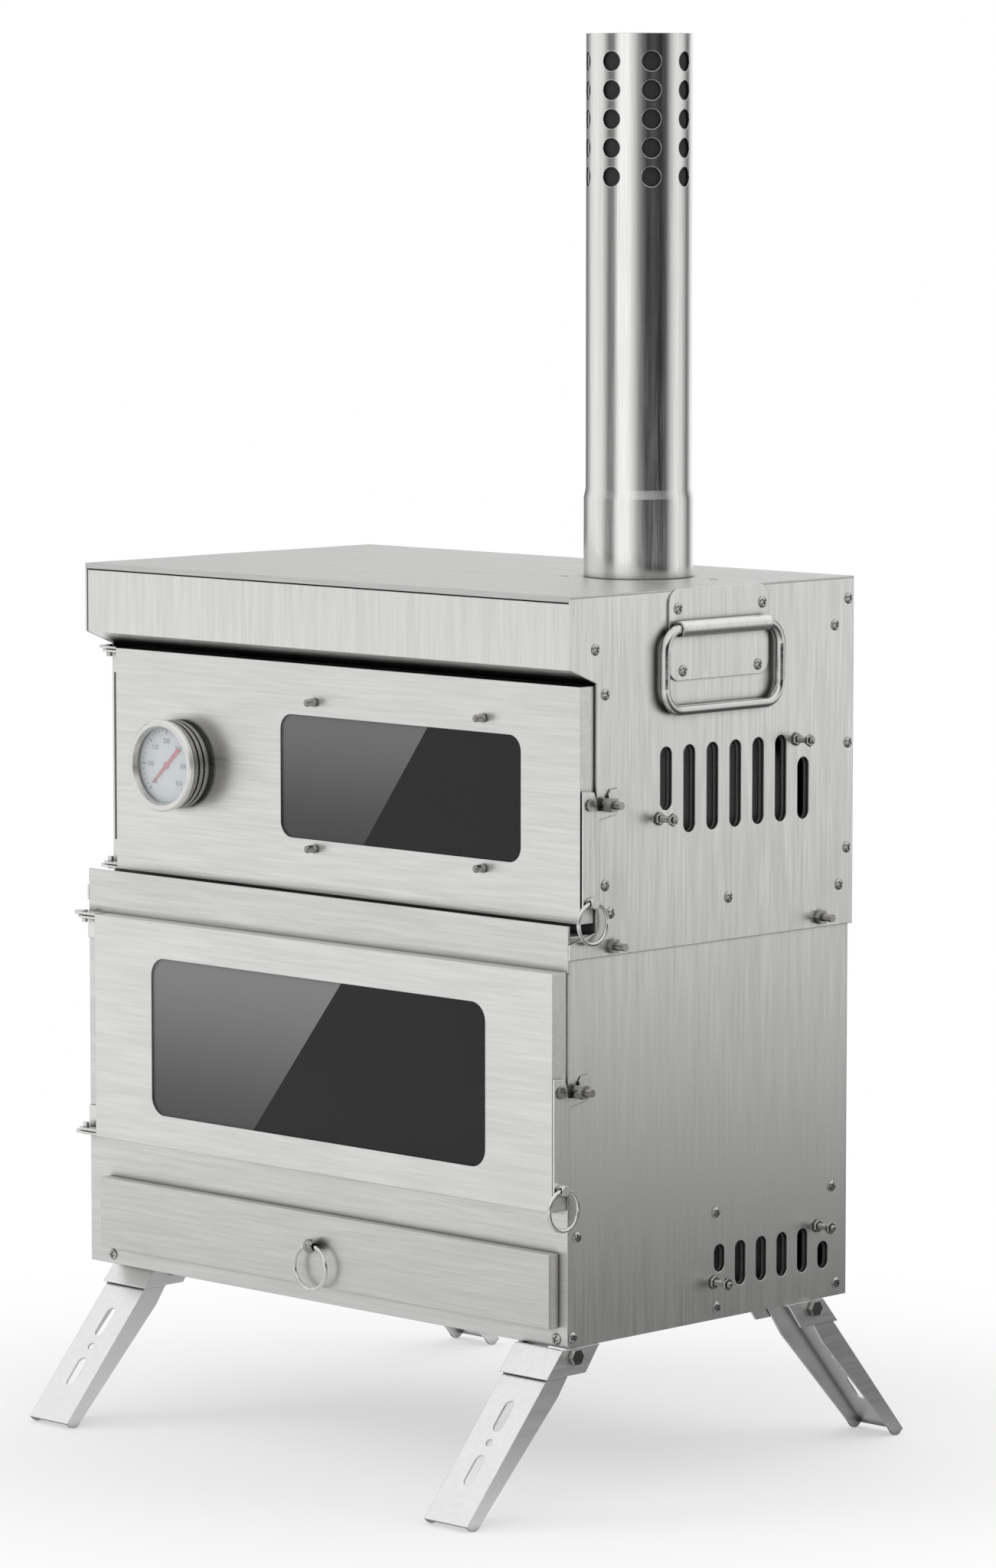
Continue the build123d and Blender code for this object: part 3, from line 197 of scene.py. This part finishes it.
def steel(name, tint, grain, roughness, contrast=0.10, depth=0.12, edge=0.0008):
    """A brushed stainless finish whose grain runs along one axis of the object, darkened by painted shade
    in its crevices and gaps.
    """
    material = bpy.data.materials.new(name)
    material.use_nodes = True
    tree = material.node_tree
    tree.nodes.clear()
    start = Wire(tree)
    place = start.add("ShaderNodeTexCoord", output=3)

    def grain_noise(across, along, detail):
        scales = tuple(1.0 / (along if axis == grain else across) for axis in "xyz")
        stretched = start.add("ShaderNodeMapping", {}, {"Vector": place, "Scale": scales})
        noise = start.add("ShaderNodeTexNoise", {}, {"Vector": stretched, "Scale": 1.0, "Detail": detail})
        return noise.between(0.32, 0.68)

    fine = grain_noise(0.0009, 0.045, 2.0)
    streaks = grain_noise(0.0028, 0.060, 2.0)
    bands = grain_noise(0.011, 0.090, 1.0)
    clouds = start.add("ShaderNodeTexNoise", {}, {"Vector": place, "Scale": 3.5, "Detail": 2.0})
    shade = fine * 0.40 + streaks * 0.36 + bands * 0.14 + clouds.between(0.3, 0.7) * 0.10
    low = tuple(value * (1.0 - contrast) for value in tint) + (1.0,)
    high = tuple(min(1.0, value * (1.0 + contrast)) for value in tint) + (1.0,)
    # Painted shade: where ambient occlusion finds crevices, gaps and parts close above, the colour darkens
    # toward a fifth of the tint.
    painted_shade_tint = tuple(value * 0.20 for value in tint) + (1.0,)
    painted_crevice_shade = start.add("ShaderNodeAmbientOcclusion", {"samples": 8}, {"Distance": 0.009}, output=1)
    colour = painted_crevice_shade.between(0.25, 0.85).blend(painted_shade_tint, shade.blend(low, high))
    fold = start.add("ShaderNodeBevel", {"samples": 4}, {"Radius": edge})
    bump = start.add("ShaderNodeBump", {}, {
        "Strength": depth, "Distance": 0.0003, "Height": fine * 0.6 + streaks * 0.4, "Normal": fold})
    surface = start.add("ShaderNodeBsdfPrincipled", {}, {
        "Base Color": colour, "Metallic": 1.0,
        "Roughness": shade.between(0.0, 1.0, roughness + 0.05, roughness - 0.05), "Normal": bump})
    start.add("ShaderNodeOutputMaterial", {}, {0: surface})
    return material


def coat(material, *nodes):
    """Gives a finish to CAD nodes by their material slots."""
    for node in nodes:
        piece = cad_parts[node]
        if not piece.material_slots:
            piece.data.materials.append(material)
        for place in piece.material_slots:
            place.material = material


hood_steel = steel("hood_brushed_steel", (0.86, 0.855, 0.84), "z", 0.36, contrast=0.07, depth=0.07)
side_steel = steel("side_brushed_steel", (0.86, 0.855, 0.84), "z", 0.34, contrast=0.06, depth=0.07)
frame_steel = steel("frame_brushed_steel", (0.77, 0.765, 0.755), "x", 0.36, contrast=0.06, depth=0.08)
cover_steel = steel("cover_brushed_steel", (0.66, 0.66, 0.65), "x", 0.38, contrast=0.08)
inner_steel = steel("inner_steel", (0.17, 0.168, 0.165), "x", 0.48)
coat(hood_steel, "hood")
coat(side_steel, "upper_side_right", "upper_side_left", "lower_side_right", "lower_side_left",
     "upper_back_panel", "lower_back_panel")
coat(frame_steel, "lower_front_frame", "module_floor", "base_plate")
coat(cover_steel, "top_cover")
coat(inner_steel, "oven_front_frame", "drawer_rails", "grate_ledges", "oven_box_feet", "ash_tray")

# Oven box, rack and grate. The liner is thin sheet, its rack is bright wire on two folded
# runners, and the grate below is a slotted plate that fire has dulled.
liner_steel = steel("liner_steel", (0.20, 0.197, 0.193), "x", 0.5)
grate_steel = steel("fired_grate_steel", (0.16, 0.15, 0.145), "x", 0.6)
wire_steel = steel("rack_wire_steel", (0.60, 0.60, 0.59), "x", 0.25, edge=0.0003)
coat(liner_steel, "oven_box")
coat(grate_steel, "fire_grate")
coat(wire_steel, "oven_rack")

# Doors and drawer. Folded pans of the same sheet that stand proud of the casing, brushed level,
# each hung or pushed in by hand.
door_steel = steel("door_brushed_steel", (0.83, 0.825, 0.81), "x", 0.35, contrast=0.055, depth=0.08)
drawer_steel = steel("drawer_brushed_steel", (0.73, 0.725, 0.715), "x", 0.36, contrast=0.07, depth=0.09)
coat(door_steel, "oven_door_pan", "fire_door_pan")
coat(drawer_steel, "drawer_front")
coat(inner_steel, "oven_glass_clamp", "fire_glass_clamp")

# Door glass. Dark heat-resistant panes clamped behind the pans. A painted reflection, paler at the
# top, lies on each pane left of a slanting line, and the rest is almost black.


def pane_glass(name, foot, slant, reflection_top, reflection_bottom, low_z, high_z):
    """Dark glass with a painted reflection, paler towards the top, to the left of a line through foot (x,
    z) that leans by slant.
    """
    material = bpy.data.materials.new(name)
    material.use_nodes = True
    material.node_tree.nodes.clear()
    start = Wire(material.node_tree)
    place = start.add("ShaderNodeTexCoord", output=3)
    across, _, height = place.parts()
    smoke = start.add("ShaderNodeTexNoise", {}, {"Vector": place, "Scale": 9.0, "Detail": 3.0})
    # Painted reflection: left of the slanting line the pane is paler, most at the top, and a little less
    # clear.
    left_of_line = (height - foot[1]) * slant + foot[0] - across
    painted_reflection_mask = left_of_line.between(-0.0003, 0.0003)
    level = height.between(low_z, high_z)
    painted_reflection_tone = level.blend(grey(reflection_bottom), grey(reflection_top))
    dark = smoke.blend((0.006, 0.006, 0.007, 1.0), (0.016, 0.015, 0.015, 1.0))
    surface = start.add("ShaderNodeBsdfPrincipled", {}, {
        "Base Color": painted_reflection_mask.blend(dark, painted_reflection_tone), "Roughness": smoke * 0.04 + 0.03,
        "IOR": 1.36, "Alpha": painted_reflection_mask * 0.10 + 0.88})
    start.add("ShaderNodeOutputMaterial", {}, {0: surface})
    return material


oven_glass_low, oven_glass_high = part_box("oven_glass")
fire_glass_low, fire_glass_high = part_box("fire_glass")
oven_glass_painted_reflection = pane_glass("oven_door_glass", foot=(0.0275, 0.398), slant=0.73, reflection_top=0.15, reflection_bottom=0.055,
                       low_z=oven_glass_low.z, high_z=oven_glass_high.z)
fire_glass_painted_reflection = pane_glass("fire_door_glass", foot=(-0.050, 0.209), slant=0.79, reflection_top=0.22, reflection_bottom=0.07,
                       low_z=fire_glass_low.z, high_z=fire_glass_high.z)
coat(oven_glass_painted_reflection, "oven_glass")
coat(fire_glass_painted_reflection, "fire_glass")

# Oven thermometer. A turned case with grooves, a satin bezel, a pale printed dial under a clear
# lens and a red needle on the hub.
case_steel = steel("turned_case_steel", (0.34, 0.335, 0.32), "y", 0.30, edge=0.0004)
bezel_steel = steel("satin_bezel_steel", (0.82, 0.815, 0.79), "y", 0.30, contrast=0.02,
                    depth=0.0, edge=0.0006)
coat(case_steel, "gauge_case")
coat(bezel_steel, "gauge_bezel")


def paint(name, low, high, roughness, scale=40.0):
    """A plain painted finish with a faint mottle."""
    material = bpy.data.materials.new(name)
    material.use_nodes = True
    material.node_tree.nodes.clear()
    start = Wire(material.node_tree)
    mottle = start.add("ShaderNodeTexNoise", {}, {
        "Vector": start.add("ShaderNodeTexCoord", output=3), "Scale": scale, "Detail": 2.0})
    surface = start.add("ShaderNodeBsdfPrincipled", {}, {
        "Base Color": mottle.blend((*low, 1.0), (*high, 1.0)), "Roughness": mottle * 0.06 + roughness})
    start.add("ShaderNodeOutputMaterial", {}, {0: surface})
    return material


dial_paint = paint("pale_dial_paint", (0.58, 0.63, 0.66), (0.66, 0.70, 0.73), 0.35)
needle_paint = paint("red_needle_paint", (0.52, 0.10, 0.10), (0.62, 0.14, 0.13), 0.35)
mark_ink = paint("grey_dial_ink", (0.10, 0.10, 0.12), (0.15, 0.14, 0.15), 0.40)
coat(dial_paint, "gauge_dial")
coat(needle_paint, "gauge_needle")

lens = bpy.data.materials.new("clear_lens")
lens.use_nodes = True
lens.node_tree.nodes.clear()
clear = Wire(lens.node_tree)
film = clear.add("ShaderNodeTexNoise", {}, {
    "Vector": clear.add("ShaderNodeTexCoord", output=3), "Scale": 60.0})
clear_surface = clear.add("ShaderNodeBsdfPrincipled", {}, {
    "Base Color": film.blend((0.90, 0.92, 0.94, 1.0), (0.95, 0.96, 0.97, 1.0)),
    "Roughness": film * 0.03 + 0.03, "IOR": 1.5, "Alpha": 0.14})
clear.add("ShaderNodeOutputMaterial", {}, {0: clear_surface})
coat(lens, "gauge_lens")

dial_low, dial_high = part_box("gauge_dial")
dial_centre = (dial_low + dial_high) / 2
dial_radius = (dial_high.x - dial_low.x) / 2
mark_depth = 0.00012
sweep_start, sweep_end = math.radians(225), math.radians(-45)
mark_count, numeral_count, numeral_step = 31, 7, 50
numeral_size, numeral_ring = 0.0046, dial_radius * 0.62
marks = bmesh.new()
for index in range(mark_count):
    angle = sweep_start + (sweep_end - sweep_start) * index / (mark_count - 1)
    outward = Vector((math.cos(angle), 0, math.sin(angle)))
    beside = Vector((-outward.z, 0, outward.x))
    inner = dial_radius * (0.80 if index % 5 == 0 else 0.86)
    half = 0.0005 if index % 5 == 0 else 0.00028
    middle = Vector((dial_centre.x, dial_low.y - mark_depth, dial_centre.z))
    outer = dial_radius * 0.92
    corners = [middle + outward * radius + beside * side
               for radius, side in ((inner, -half), (inner, half), (outer, half), (outer, -half))]
    marks.faces.new([marks.verts.new(corner) for corner in corners])
for index in range(numeral_count):
    angle = sweep_start + (sweep_end - sweep_start) * index / (numeral_count - 1)
    numeral = bpy.data.curves.new("numeral", "FONT")
    numeral.body = str(numeral_step * (index + 1))
    numeral.size = numeral_size
    numeral.align_x, numeral.align_y = "CENTER", "CENTER"
    numeral_piece = bpy.data.objects.new("numeral", numeral)
    scene.collection.objects.link(numeral_piece)
    bpy.context.view_layer.update()
    depsgraph = bpy.context.evaluated_depsgraph_get()
    flat = bpy.data.meshes.new_from_object(numeral_piece.evaluated_get(depsgraph))
    spot = (dial_centre.x + math.cos(angle) * numeral_ring, dial_low.y - mark_depth,
            dial_centre.z + math.sin(angle) * numeral_ring)
    flat.transform(Matrix.Translation(spot) @ Matrix.Rotation(math.radians(90), 4, "X"))
    marks.from_mesh(flat)
    bpy.data.objects.remove(numeral_piece)
    bpy.data.meshes.remove(flat)
mark_mesh = bpy.data.meshes.new("gauge_marks")
marks.to_mesh(mark_mesh)
marks.free()
mark_mesh.materials.append(mark_ink)
gauge_marks = bpy.data.objects.new("gauge_marks", mark_mesh)
scene.collection.objects.link(gauge_marks)
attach(gauge_marks, "oven_door")

# Latches, ring pulls and hinges. Blanked levers of bright sheet turn on rivets, bent wire rings
# hang in their eyes, and plain pins pass through folded ears.
lever_steel = steel("lever_brushed_steel", (0.84, 0.835, 0.82), "z", 0.34)
bright_wire = steel("bright_wire_steel", (0.74, 0.74, 0.73), "z", 0.14, depth=0.03, edge=0.0003)
coat(lever_steel, "oven_latch", "fire_latch", "hinge_brackets")
coat(bright_wire, "oven_ring", "fire_ring", "drawer_ring", "hinge_pins")

# Carry handles. A plate on each side is wrapped round the top bar of a loop of polished rod, and
# held by four screws.
rod_steel = steel("polished_rod_steel", (0.68, 0.68, 0.67), "y", 0.09, contrast=0.03, depth=0.0,
                  edge=0.0003)
coat(side_steel, "handle_plates")
coat(rod_steel, "bail_right", "bail_left")

# Air shutters. Plain plates that slide behind the slots on the guide studs, coloured near black as
# painted shade so that the slots read dark.
shutter_painted_shade = steel("shutter_painted_shade", (0.11, 0.108, 0.105), "y", 0.46)
coat(shutter_painted_shade, "shutter_upper_right", "shutter_upper_left", "shutter_lower_right",
     "shutter_lower_left")

# Casing screws. Zinc-bright pan heads with a cross recess, driven into the flanges behind the
# sheet, each stopped at its own angle. Two more hold the front strip, and two domed rivets the cover.
screw_steel = steel("bright_screw_steel", (0.56, 0.56, 0.55), "y", 0.16, depth=0.0, edge=0.0003)


def lathe(form, profile, segments=24):
    """A ring of faces turned round Z from a profile of (radius, height), closed at both ends."""
    rings = [[form.verts.new((radius * math.cos(math.tau * index / segments),
                              radius * math.sin(math.tau * index / segments), height))
              for index in range(segments)] for radius, height in profile]
    for lower, upper in zip(rings, rings[1:]):
        for index in range(segments):
            after = (index + 1) % segments
            form.faces.new((lower[index], lower[after], upper[after], upper[index]))
    form.faces.new(list(reversed(rings[0])))
    form.faces.new(rings[-1])


def pattern(name, build):
    """One small piece along +Z, kept out of the scene as the pattern for its copies."""
    form = bmesh.new()
    build(form)
    bmesh.ops.recalc_face_normals(form, faces=form.faces)
    mesh = bpy.data.meshes.new(name)
    form.to_mesh(mesh)
    form.free()
    return bpy.data.objects.new(name, mesh)


def islands(node):
    """The lowest and highest corners of each loose solid in a CAD node."""
    form = bmesh.new()
    form.from_mesh(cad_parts[node].data)
    bmesh.ops.remove_doubles(form, verts=form.verts, dist=1e-6)
    left, boxes = set(form.verts), []
    while left:
        front, island = [left.pop()], []
        while front:
            vertex = front.pop()
            island.append(vertex.co.copy())
            for edge in vertex.link_edges:
                other = edge.other_vert(vertex)
                if other in left:
                    left.discard(other)
                    front.append(other)
        boxes.append((Vector([min(point[axis] for point in island) for axis in range(3)]),
                      Vector([max(point[axis] for point in island) for axis in range(3)])))
    form.free()
    return sorted(boxes, key=lambda box: tuple(round(value, 5) for value in box[0]))


copies = bpy.data.node_groups.new("copies_on_points", "GeometryNodeTree")
copies.interface.new_socket("Geometry", in_out="INPUT", socket_type="NodeSocketGeometry")
copies.interface.new_socket("Pattern", in_out="INPUT", socket_type="NodeSocketObject")
copies.interface.new_socket("Size", in_out="INPUT", socket_type="NodeSocketFloat")
copies.interface.new_socket("Turn", in_out="INPUT", socket_type="NodeSocketFloat")
copies.interface.new_socket("Finish", in_out="INPUT", socket_type="NodeSocketMaterial")
copies.interface.new_socket("Geometry", in_out="OUTPUT", socket_type="NodeSocketGeometry")
given = copies.nodes.new("NodeGroupInput")
made = copies.nodes.new("NodeGroupOutput")
shape = copies.nodes.new("GeometryNodeObjectInfo")
aim = copies.nodes.new("GeometryNodeInputNamedAttribute")
aim.data_type = "FLOAT_VECTOR"
aim.inputs["Name"].default_value = "aim"
face = copies.nodes.new("FunctionNodeAlignRotationToVector")
face.axis = "Z"
chance = copies.nodes.new("FunctionNodeRandomValue")
chance.data_type = "FLOAT"
chance.inputs["Seed"].default_value = 7
spin = copies.nodes.new("FunctionNodeAxisAngleToRotation")
spun = copies.nodes.new("FunctionNodeRotateRotation")
spun.rotation_space = "LOCAL"
placed = copies.nodes.new("GeometryNodeInstanceOnPoints")
real = copies.nodes.new("GeometryNodeRealizeInstances")
finished = copies.nodes.new("GeometryNodeSetMaterial")
chance_low = next(socket for socket in chance.inputs if socket.name == "Min" and socket.type == "VALUE")
chance_high = next(socket for socket in chance.inputs if socket.name == "Max" and socket.type == "VALUE")
chance_out = next(socket for socket in chance.outputs if socket.type == "VALUE")
aim_out = next(socket for socket in aim.outputs if socket.name == "Attribute" and socket.enabled)
chance_low.default_value = 0.0
for source, target in (
        (given.outputs["Pattern"], shape.inputs["Object"]), (given.outputs["Turn"], chance_high),
        (aim_out, face.inputs["Vector"]), (chance_out, spin.inputs["Angle"]),
        (face.outputs["Rotation"], spun.inputs["Rotation"]),
        (spin.outputs["Rotation"], spun.inputs["Rotate By"]),
        (given.outputs["Geometry"], placed.inputs["Points"]),
        (shape.outputs["Geometry"], placed.inputs["Instance"]),
        (spun.outputs["Rotation"], placed.inputs["Rotation"]),
        (given.outputs["Size"], placed.inputs["Scale"]),
        (placed.outputs["Instances"], real.inputs["Geometry"]),
        (real.outputs["Geometry"], finished.inputs["Geometry"]),
        (given.outputs["Finish"], finished.inputs["Material"]),
        (finished.outputs["Geometry"], made.inputs[0])):
    copies.links.new(source, target)


def scatter(name, shape_of, places, finish, turn_by=0.0):
    """A copy of one pattern at each (point, axis), as one plain mesh."""
    points = bpy.data.meshes.new(name)
    points.from_pydata([point for point, axis in places], [], [])
    aims = points.attributes.new("aim", "FLOAT_VECTOR", "POINT")
    aims.data.foreach_set("vector", [value for point, axis in places for value in axis])
    piece = bpy.data.objects.new(name, points)
    scene.collection.objects.link(piece)
    modifier = piece.modifiers.new("copies", "NODES")
    modifier.node_group = copies
    wanted = {"Pattern": shape_of, "Size": 1.0, "Turn": turn_by, "Finish": finish}
    for socket in copies.interface.items_tree:
        if socket.in_out == "INPUT" and socket.name != "Geometry":
            modifier[socket.identifier] = wanted[socket.name]
    bpy.context.view_layer.update()
    plain = bpy.data.meshes.new_from_object(piece.evaluated_get(bpy.context.evaluated_depsgraph_get()))
    piece.modifiers.clear()
    piece.data = plain
    for attribute in [item for item in plain.attributes if item.name == "aim"]:
        plain.attributes.remove(attribute)
    return piece


screw_boxes = islands("casing_screws")
head_height = screw_boxes[0][1].x - screw_boxes[0][0].x
head_radius = (screw_boxes[0][1].z - screw_boxes[0][0].z) / 2
point_radius = 0.0002


def pan_head(form):
    lathe(form, ((head_radius * 0.96, 0.0), (head_radius, head_height * 0.25),
                 (head_radius * 0.93, head_height * 0.55), (head_radius * 0.74, head_height * 0.85),
                 (head_radius * 0.45, head_height * 0.99), (point_radius, head_height)), 28)


def cross_cutter(form):
    for long_side, short_side in ((0.62, 0.17), (0.17, 0.62)):
        block = bmesh.ops.create_cube(form, size=1.0)
        block_size = (head_radius * 2 * long_side, head_radius * 2 * short_side, head_height)
        bmesh.ops.scale(form, vec=block_size, verts=block["verts"])
        bmesh.ops.translate(form, vec=(0, 0, head_height * 0.86), verts=block["verts"])


plain_head = pattern("plain_head", pan_head)
cross = pattern("cross_cutter", cross_cutter)
for pattern_piece in (plain_head, cross):
    scene.collection.objects.link(pattern_piece)
recess = plain_head.modifiers.new("recess", "BOOLEAN")
recess.object, recess.operation, recess.solver = cross, "DIFFERENCE", "EXACT"
recess.use_self = True
bpy.context.view_layer.update()
cut_head = plain_head.evaluated_get(bpy.context.evaluated_depsgraph_get())
screw_mesh = bpy.data.meshes.new_from_object(cut_head)
screw_head = bpy.data.objects.new("screw_head", screw_mesh)
for pattern_piece in (plain_head, cross):
    bpy.data.objects.remove(pattern_piece)
screw_places = [(((low.x if low.x > 0 else high.x), (low.y + high.y) / 2, (low.z + high.z) / 2),
                 (1.0 if low.x > 0 else -1.0, 0.0, 0.0)) for low, high in screw_boxes]
screw_heads = scatter("screw_heads", screw_head, screw_places, screw_steel, math.tau)
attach(screw_heads, "stove_body")
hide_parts("casing_screws")

strip_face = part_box("lower_front_frame")[0].y
cover_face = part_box("top_cover")[1].z
strip_points = [(-0.198, strip_face, 0.1075), (0.210, strip_face, 0.1065)]
strip_screws = scatter("strip_screws", screw_head, [(point, (0.0, -1.0, 0.0)) for point in strip_points],
                       screw_steel, math.tau)
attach(strip_screws, "stove_body")

rivet_radius, rivet_height = 0.0026, 0.0011


def rivet_dome(form):
    angles = [math.radians(18 * step) for step in range(6)]
    lathe(form, [(max(point_radius, rivet_radius * math.cos(angle)), rivet_height * math.sin(angle))
                 for angle in angles], 20)


cover_rivets = scatter("cover_rivets", pattern("rivet", rivet_dome),
                       [((0.0915, -0.0004, cover_face), (0.0, 0.0, 1.0)),
                        ((0.1799, 0.0435, cover_face), (0.0, 0.0, 1.0))], screw_steel)
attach(cover_rivets, "stove_body")

# Studs and nuts. Threaded steel studs carry the shutters, the latches and the oven window, with
# plain hexagon nuts run down on them.
stud_steel = steel("threaded_stud_steel", (0.38, 0.375, 0.36), "y", 0.16, depth=0.0, edge=0.0002)


def threaded(form, radius, low, high, pitch=0.0008):
    """A threaded rod along Z as a stack of ridges, with a chamfered tip."""
    profile = [(radius * 0.9, low)]
    turns = int((high - low - 0.0006) / pitch)
    for index in range(turns):
        profile += [(radius, low + (index + 0.5) * pitch), (radius * 0.82, low + (index + 1) * pitch)]
    profile += [(radius * 0.80, high - 0.0004), (radius * 0.55, high)]
    lathe(form, profile, 16)


def hexagon(form, radius, low, high):
    """A hexagon nut along Z with both its ends chamfered."""
    chamfer = radius * 0.14
    rows = [(radius * 0.90, low), (radius, low + chamfer), (radius, high - chamfer), (radius * 0.90, high)]
    rings = [[form.verts.new((r * math.cos(math.tau * index / 6), r * math.sin(math.tau * index / 6), z))
              for index in range(6)] for r, z in rows]
    for lower, upper in zip(rings, rings[1:]):
        for index in range(6):
            after = (index + 1) % 6
            form.faces.new((lower[index], lower[after], upper[after], upper[index]))
    form.faces.new(list(reversed(rings[0])))
    form.faces.new(rings[-1])


guide_boxes = islands("guide_studs")
module_split = 0.3
guide_upper = [box for box in guide_boxes if box[0].z > module_split]
guide_lower = [box for box in guide_boxes if box[0].z < module_split]
guide_radius, guide_nut, guide_nut_height, guide_length = 0.0020, 0.0042, 0.0024, 0.0155
guide_back = 0.0044


def guide_stud(form):
    threaded(form, guide_radius, -guide_back, guide_length)
    hexagon(form, guide_nut, 0.0, guide_nut_height)
    hexagon(form, guide_nut, guide_length - 2 * guide_nut_height, guide_length - guide_nut_height)
    hexagon(form, guide_nut, -guide_back, -guide_back + 0.0012)


guide_pattern = pattern("guide_stud", guide_stud)
guide_places = [(((high.x - guide_length if high.x > 0 else low.x + guide_length),
                  (low.y + high.y) / 2, (low.z + high.z) / 2),
                 (1.0 if high.x > 0 else -1.0, 0.0, 0.0)) for low, high in guide_upper + guide_lower]
shutter_studs = scatter("shutter_studs", guide_pattern, guide_places, stud_steel)
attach(shutter_studs, "stove_body")
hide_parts("guide_studs")

window_boxes = islands("oven_window_studs")
window_reach = window_boxes[0][1].y - window_boxes[0][0].y
window_proud, window_radius, window_nut, window_nut_height = 0.009, 0.0019, 0.0030, 0.0032


def window_stud(form):
    threaded(form, window_radius, window_proud - window_reach, window_proud)
    hexagon(form, window_nut, 0.0, window_nut_height)
    hexagon(form, window_nut, window_proud - window_reach, window_proud - window_reach + window_nut_height)
    lathe(form, ((window_radius * 1.30, window_nut_height), (window_radius * 1.30, window_proud - 0.0015),
                 (window_radius * 1.05, window_proud - 0.0008)), 12)


window_pattern = pattern("window_stud", window_stud)
window_places = [(((low.x + high.x) / 2, low.y + window_proud, (low.z + high.z) / 2), (0.0, -1.0, 0.0))
                 for low, high in window_boxes]
window_studs = scatter("window_studs", window_pattern, window_places, stud_steel)
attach(window_studs, "oven_door")
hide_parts("oven_window_studs")
coat(stud_steel, "side_bolts", "leg_bolts", "oven_latch_rivet", "fire_latch_rivet", "drawer_ring_eye")

# Legs. Slotted channels of the same sheet that fold up under the base, each on a bolt through
# the two ears of its bracket.
leg_steel = steel("leg_brushed_steel", (0.86, 0.86, 0.855), "y", 0.36, contrast=0.03, depth=0.02)
coat(leg_steel, "leg_front_right", "leg_front_left", "leg_rear_right", "leg_rear_left", "leg_brackets")

# Chimney. A rolled pipe with an expanded lower end, brighter and smoother than the casing, and a
# near-black sleeve inside it behind its draught holes, painted shade that makes the holes read dark.
pipe_steel = steel("rolled_pipe_steel", (0.88, 0.875, 0.865), "z", 0.15, depth=0.03, contrast=0.05)
coat(pipe_steel, "chimney_pipe", "flue_spigot")
pipe_low, pipe_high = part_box("chimney_pipe")
pipe_centre = (pipe_low + pipe_high) / 2
sleeve_radius, sleeve_wall, sleeve_sides = 0.0318, 0.0008, 64
sleeve_low, sleeve_high = pipe_high.z - 0.105, pipe_high.z - 0.004


def shade_sleeve_form(form):
    rings = []
    for radius, height in ((sleeve_radius, sleeve_low), (sleeve_radius, sleeve_high),
                           (sleeve_radius - sleeve_wall, sleeve_high),
                           (sleeve_radius - sleeve_wall, sleeve_low)):
        turns = [math.tau * index / sleeve_sides for index in range(sleeve_sides)]
        rings.append([form.verts.new((pipe_centre.x + radius * math.cos(turn),
                                      pipe_centre.y + radius * math.sin(turn), height)) for turn in turns])
    for lower, upper in zip(rings, rings[1:] + rings[:1]):
        for index in range(sleeve_sides):
            after = (index + 1) % sleeve_sides
            form.faces.new((lower[index], lower[after], upper[after], upper[index]))


# Painted shade: the sleeve is near black so that the inside of the pipe behind the holes reads dark.
near_black_painted_shade = paint("near_black_painted_shade", (0.010, 0.010, 0.010), (0.030, 0.029, 0.028), 0.7, 900.0)
spark_sleeve = pattern("spark_sleeve", shade_sleeve_form)
spark_sleeve.data.materials.append(near_black_painted_shade)
scene.collection.objects.link(spark_sleeve)
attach(spark_sleeve, "chimney")
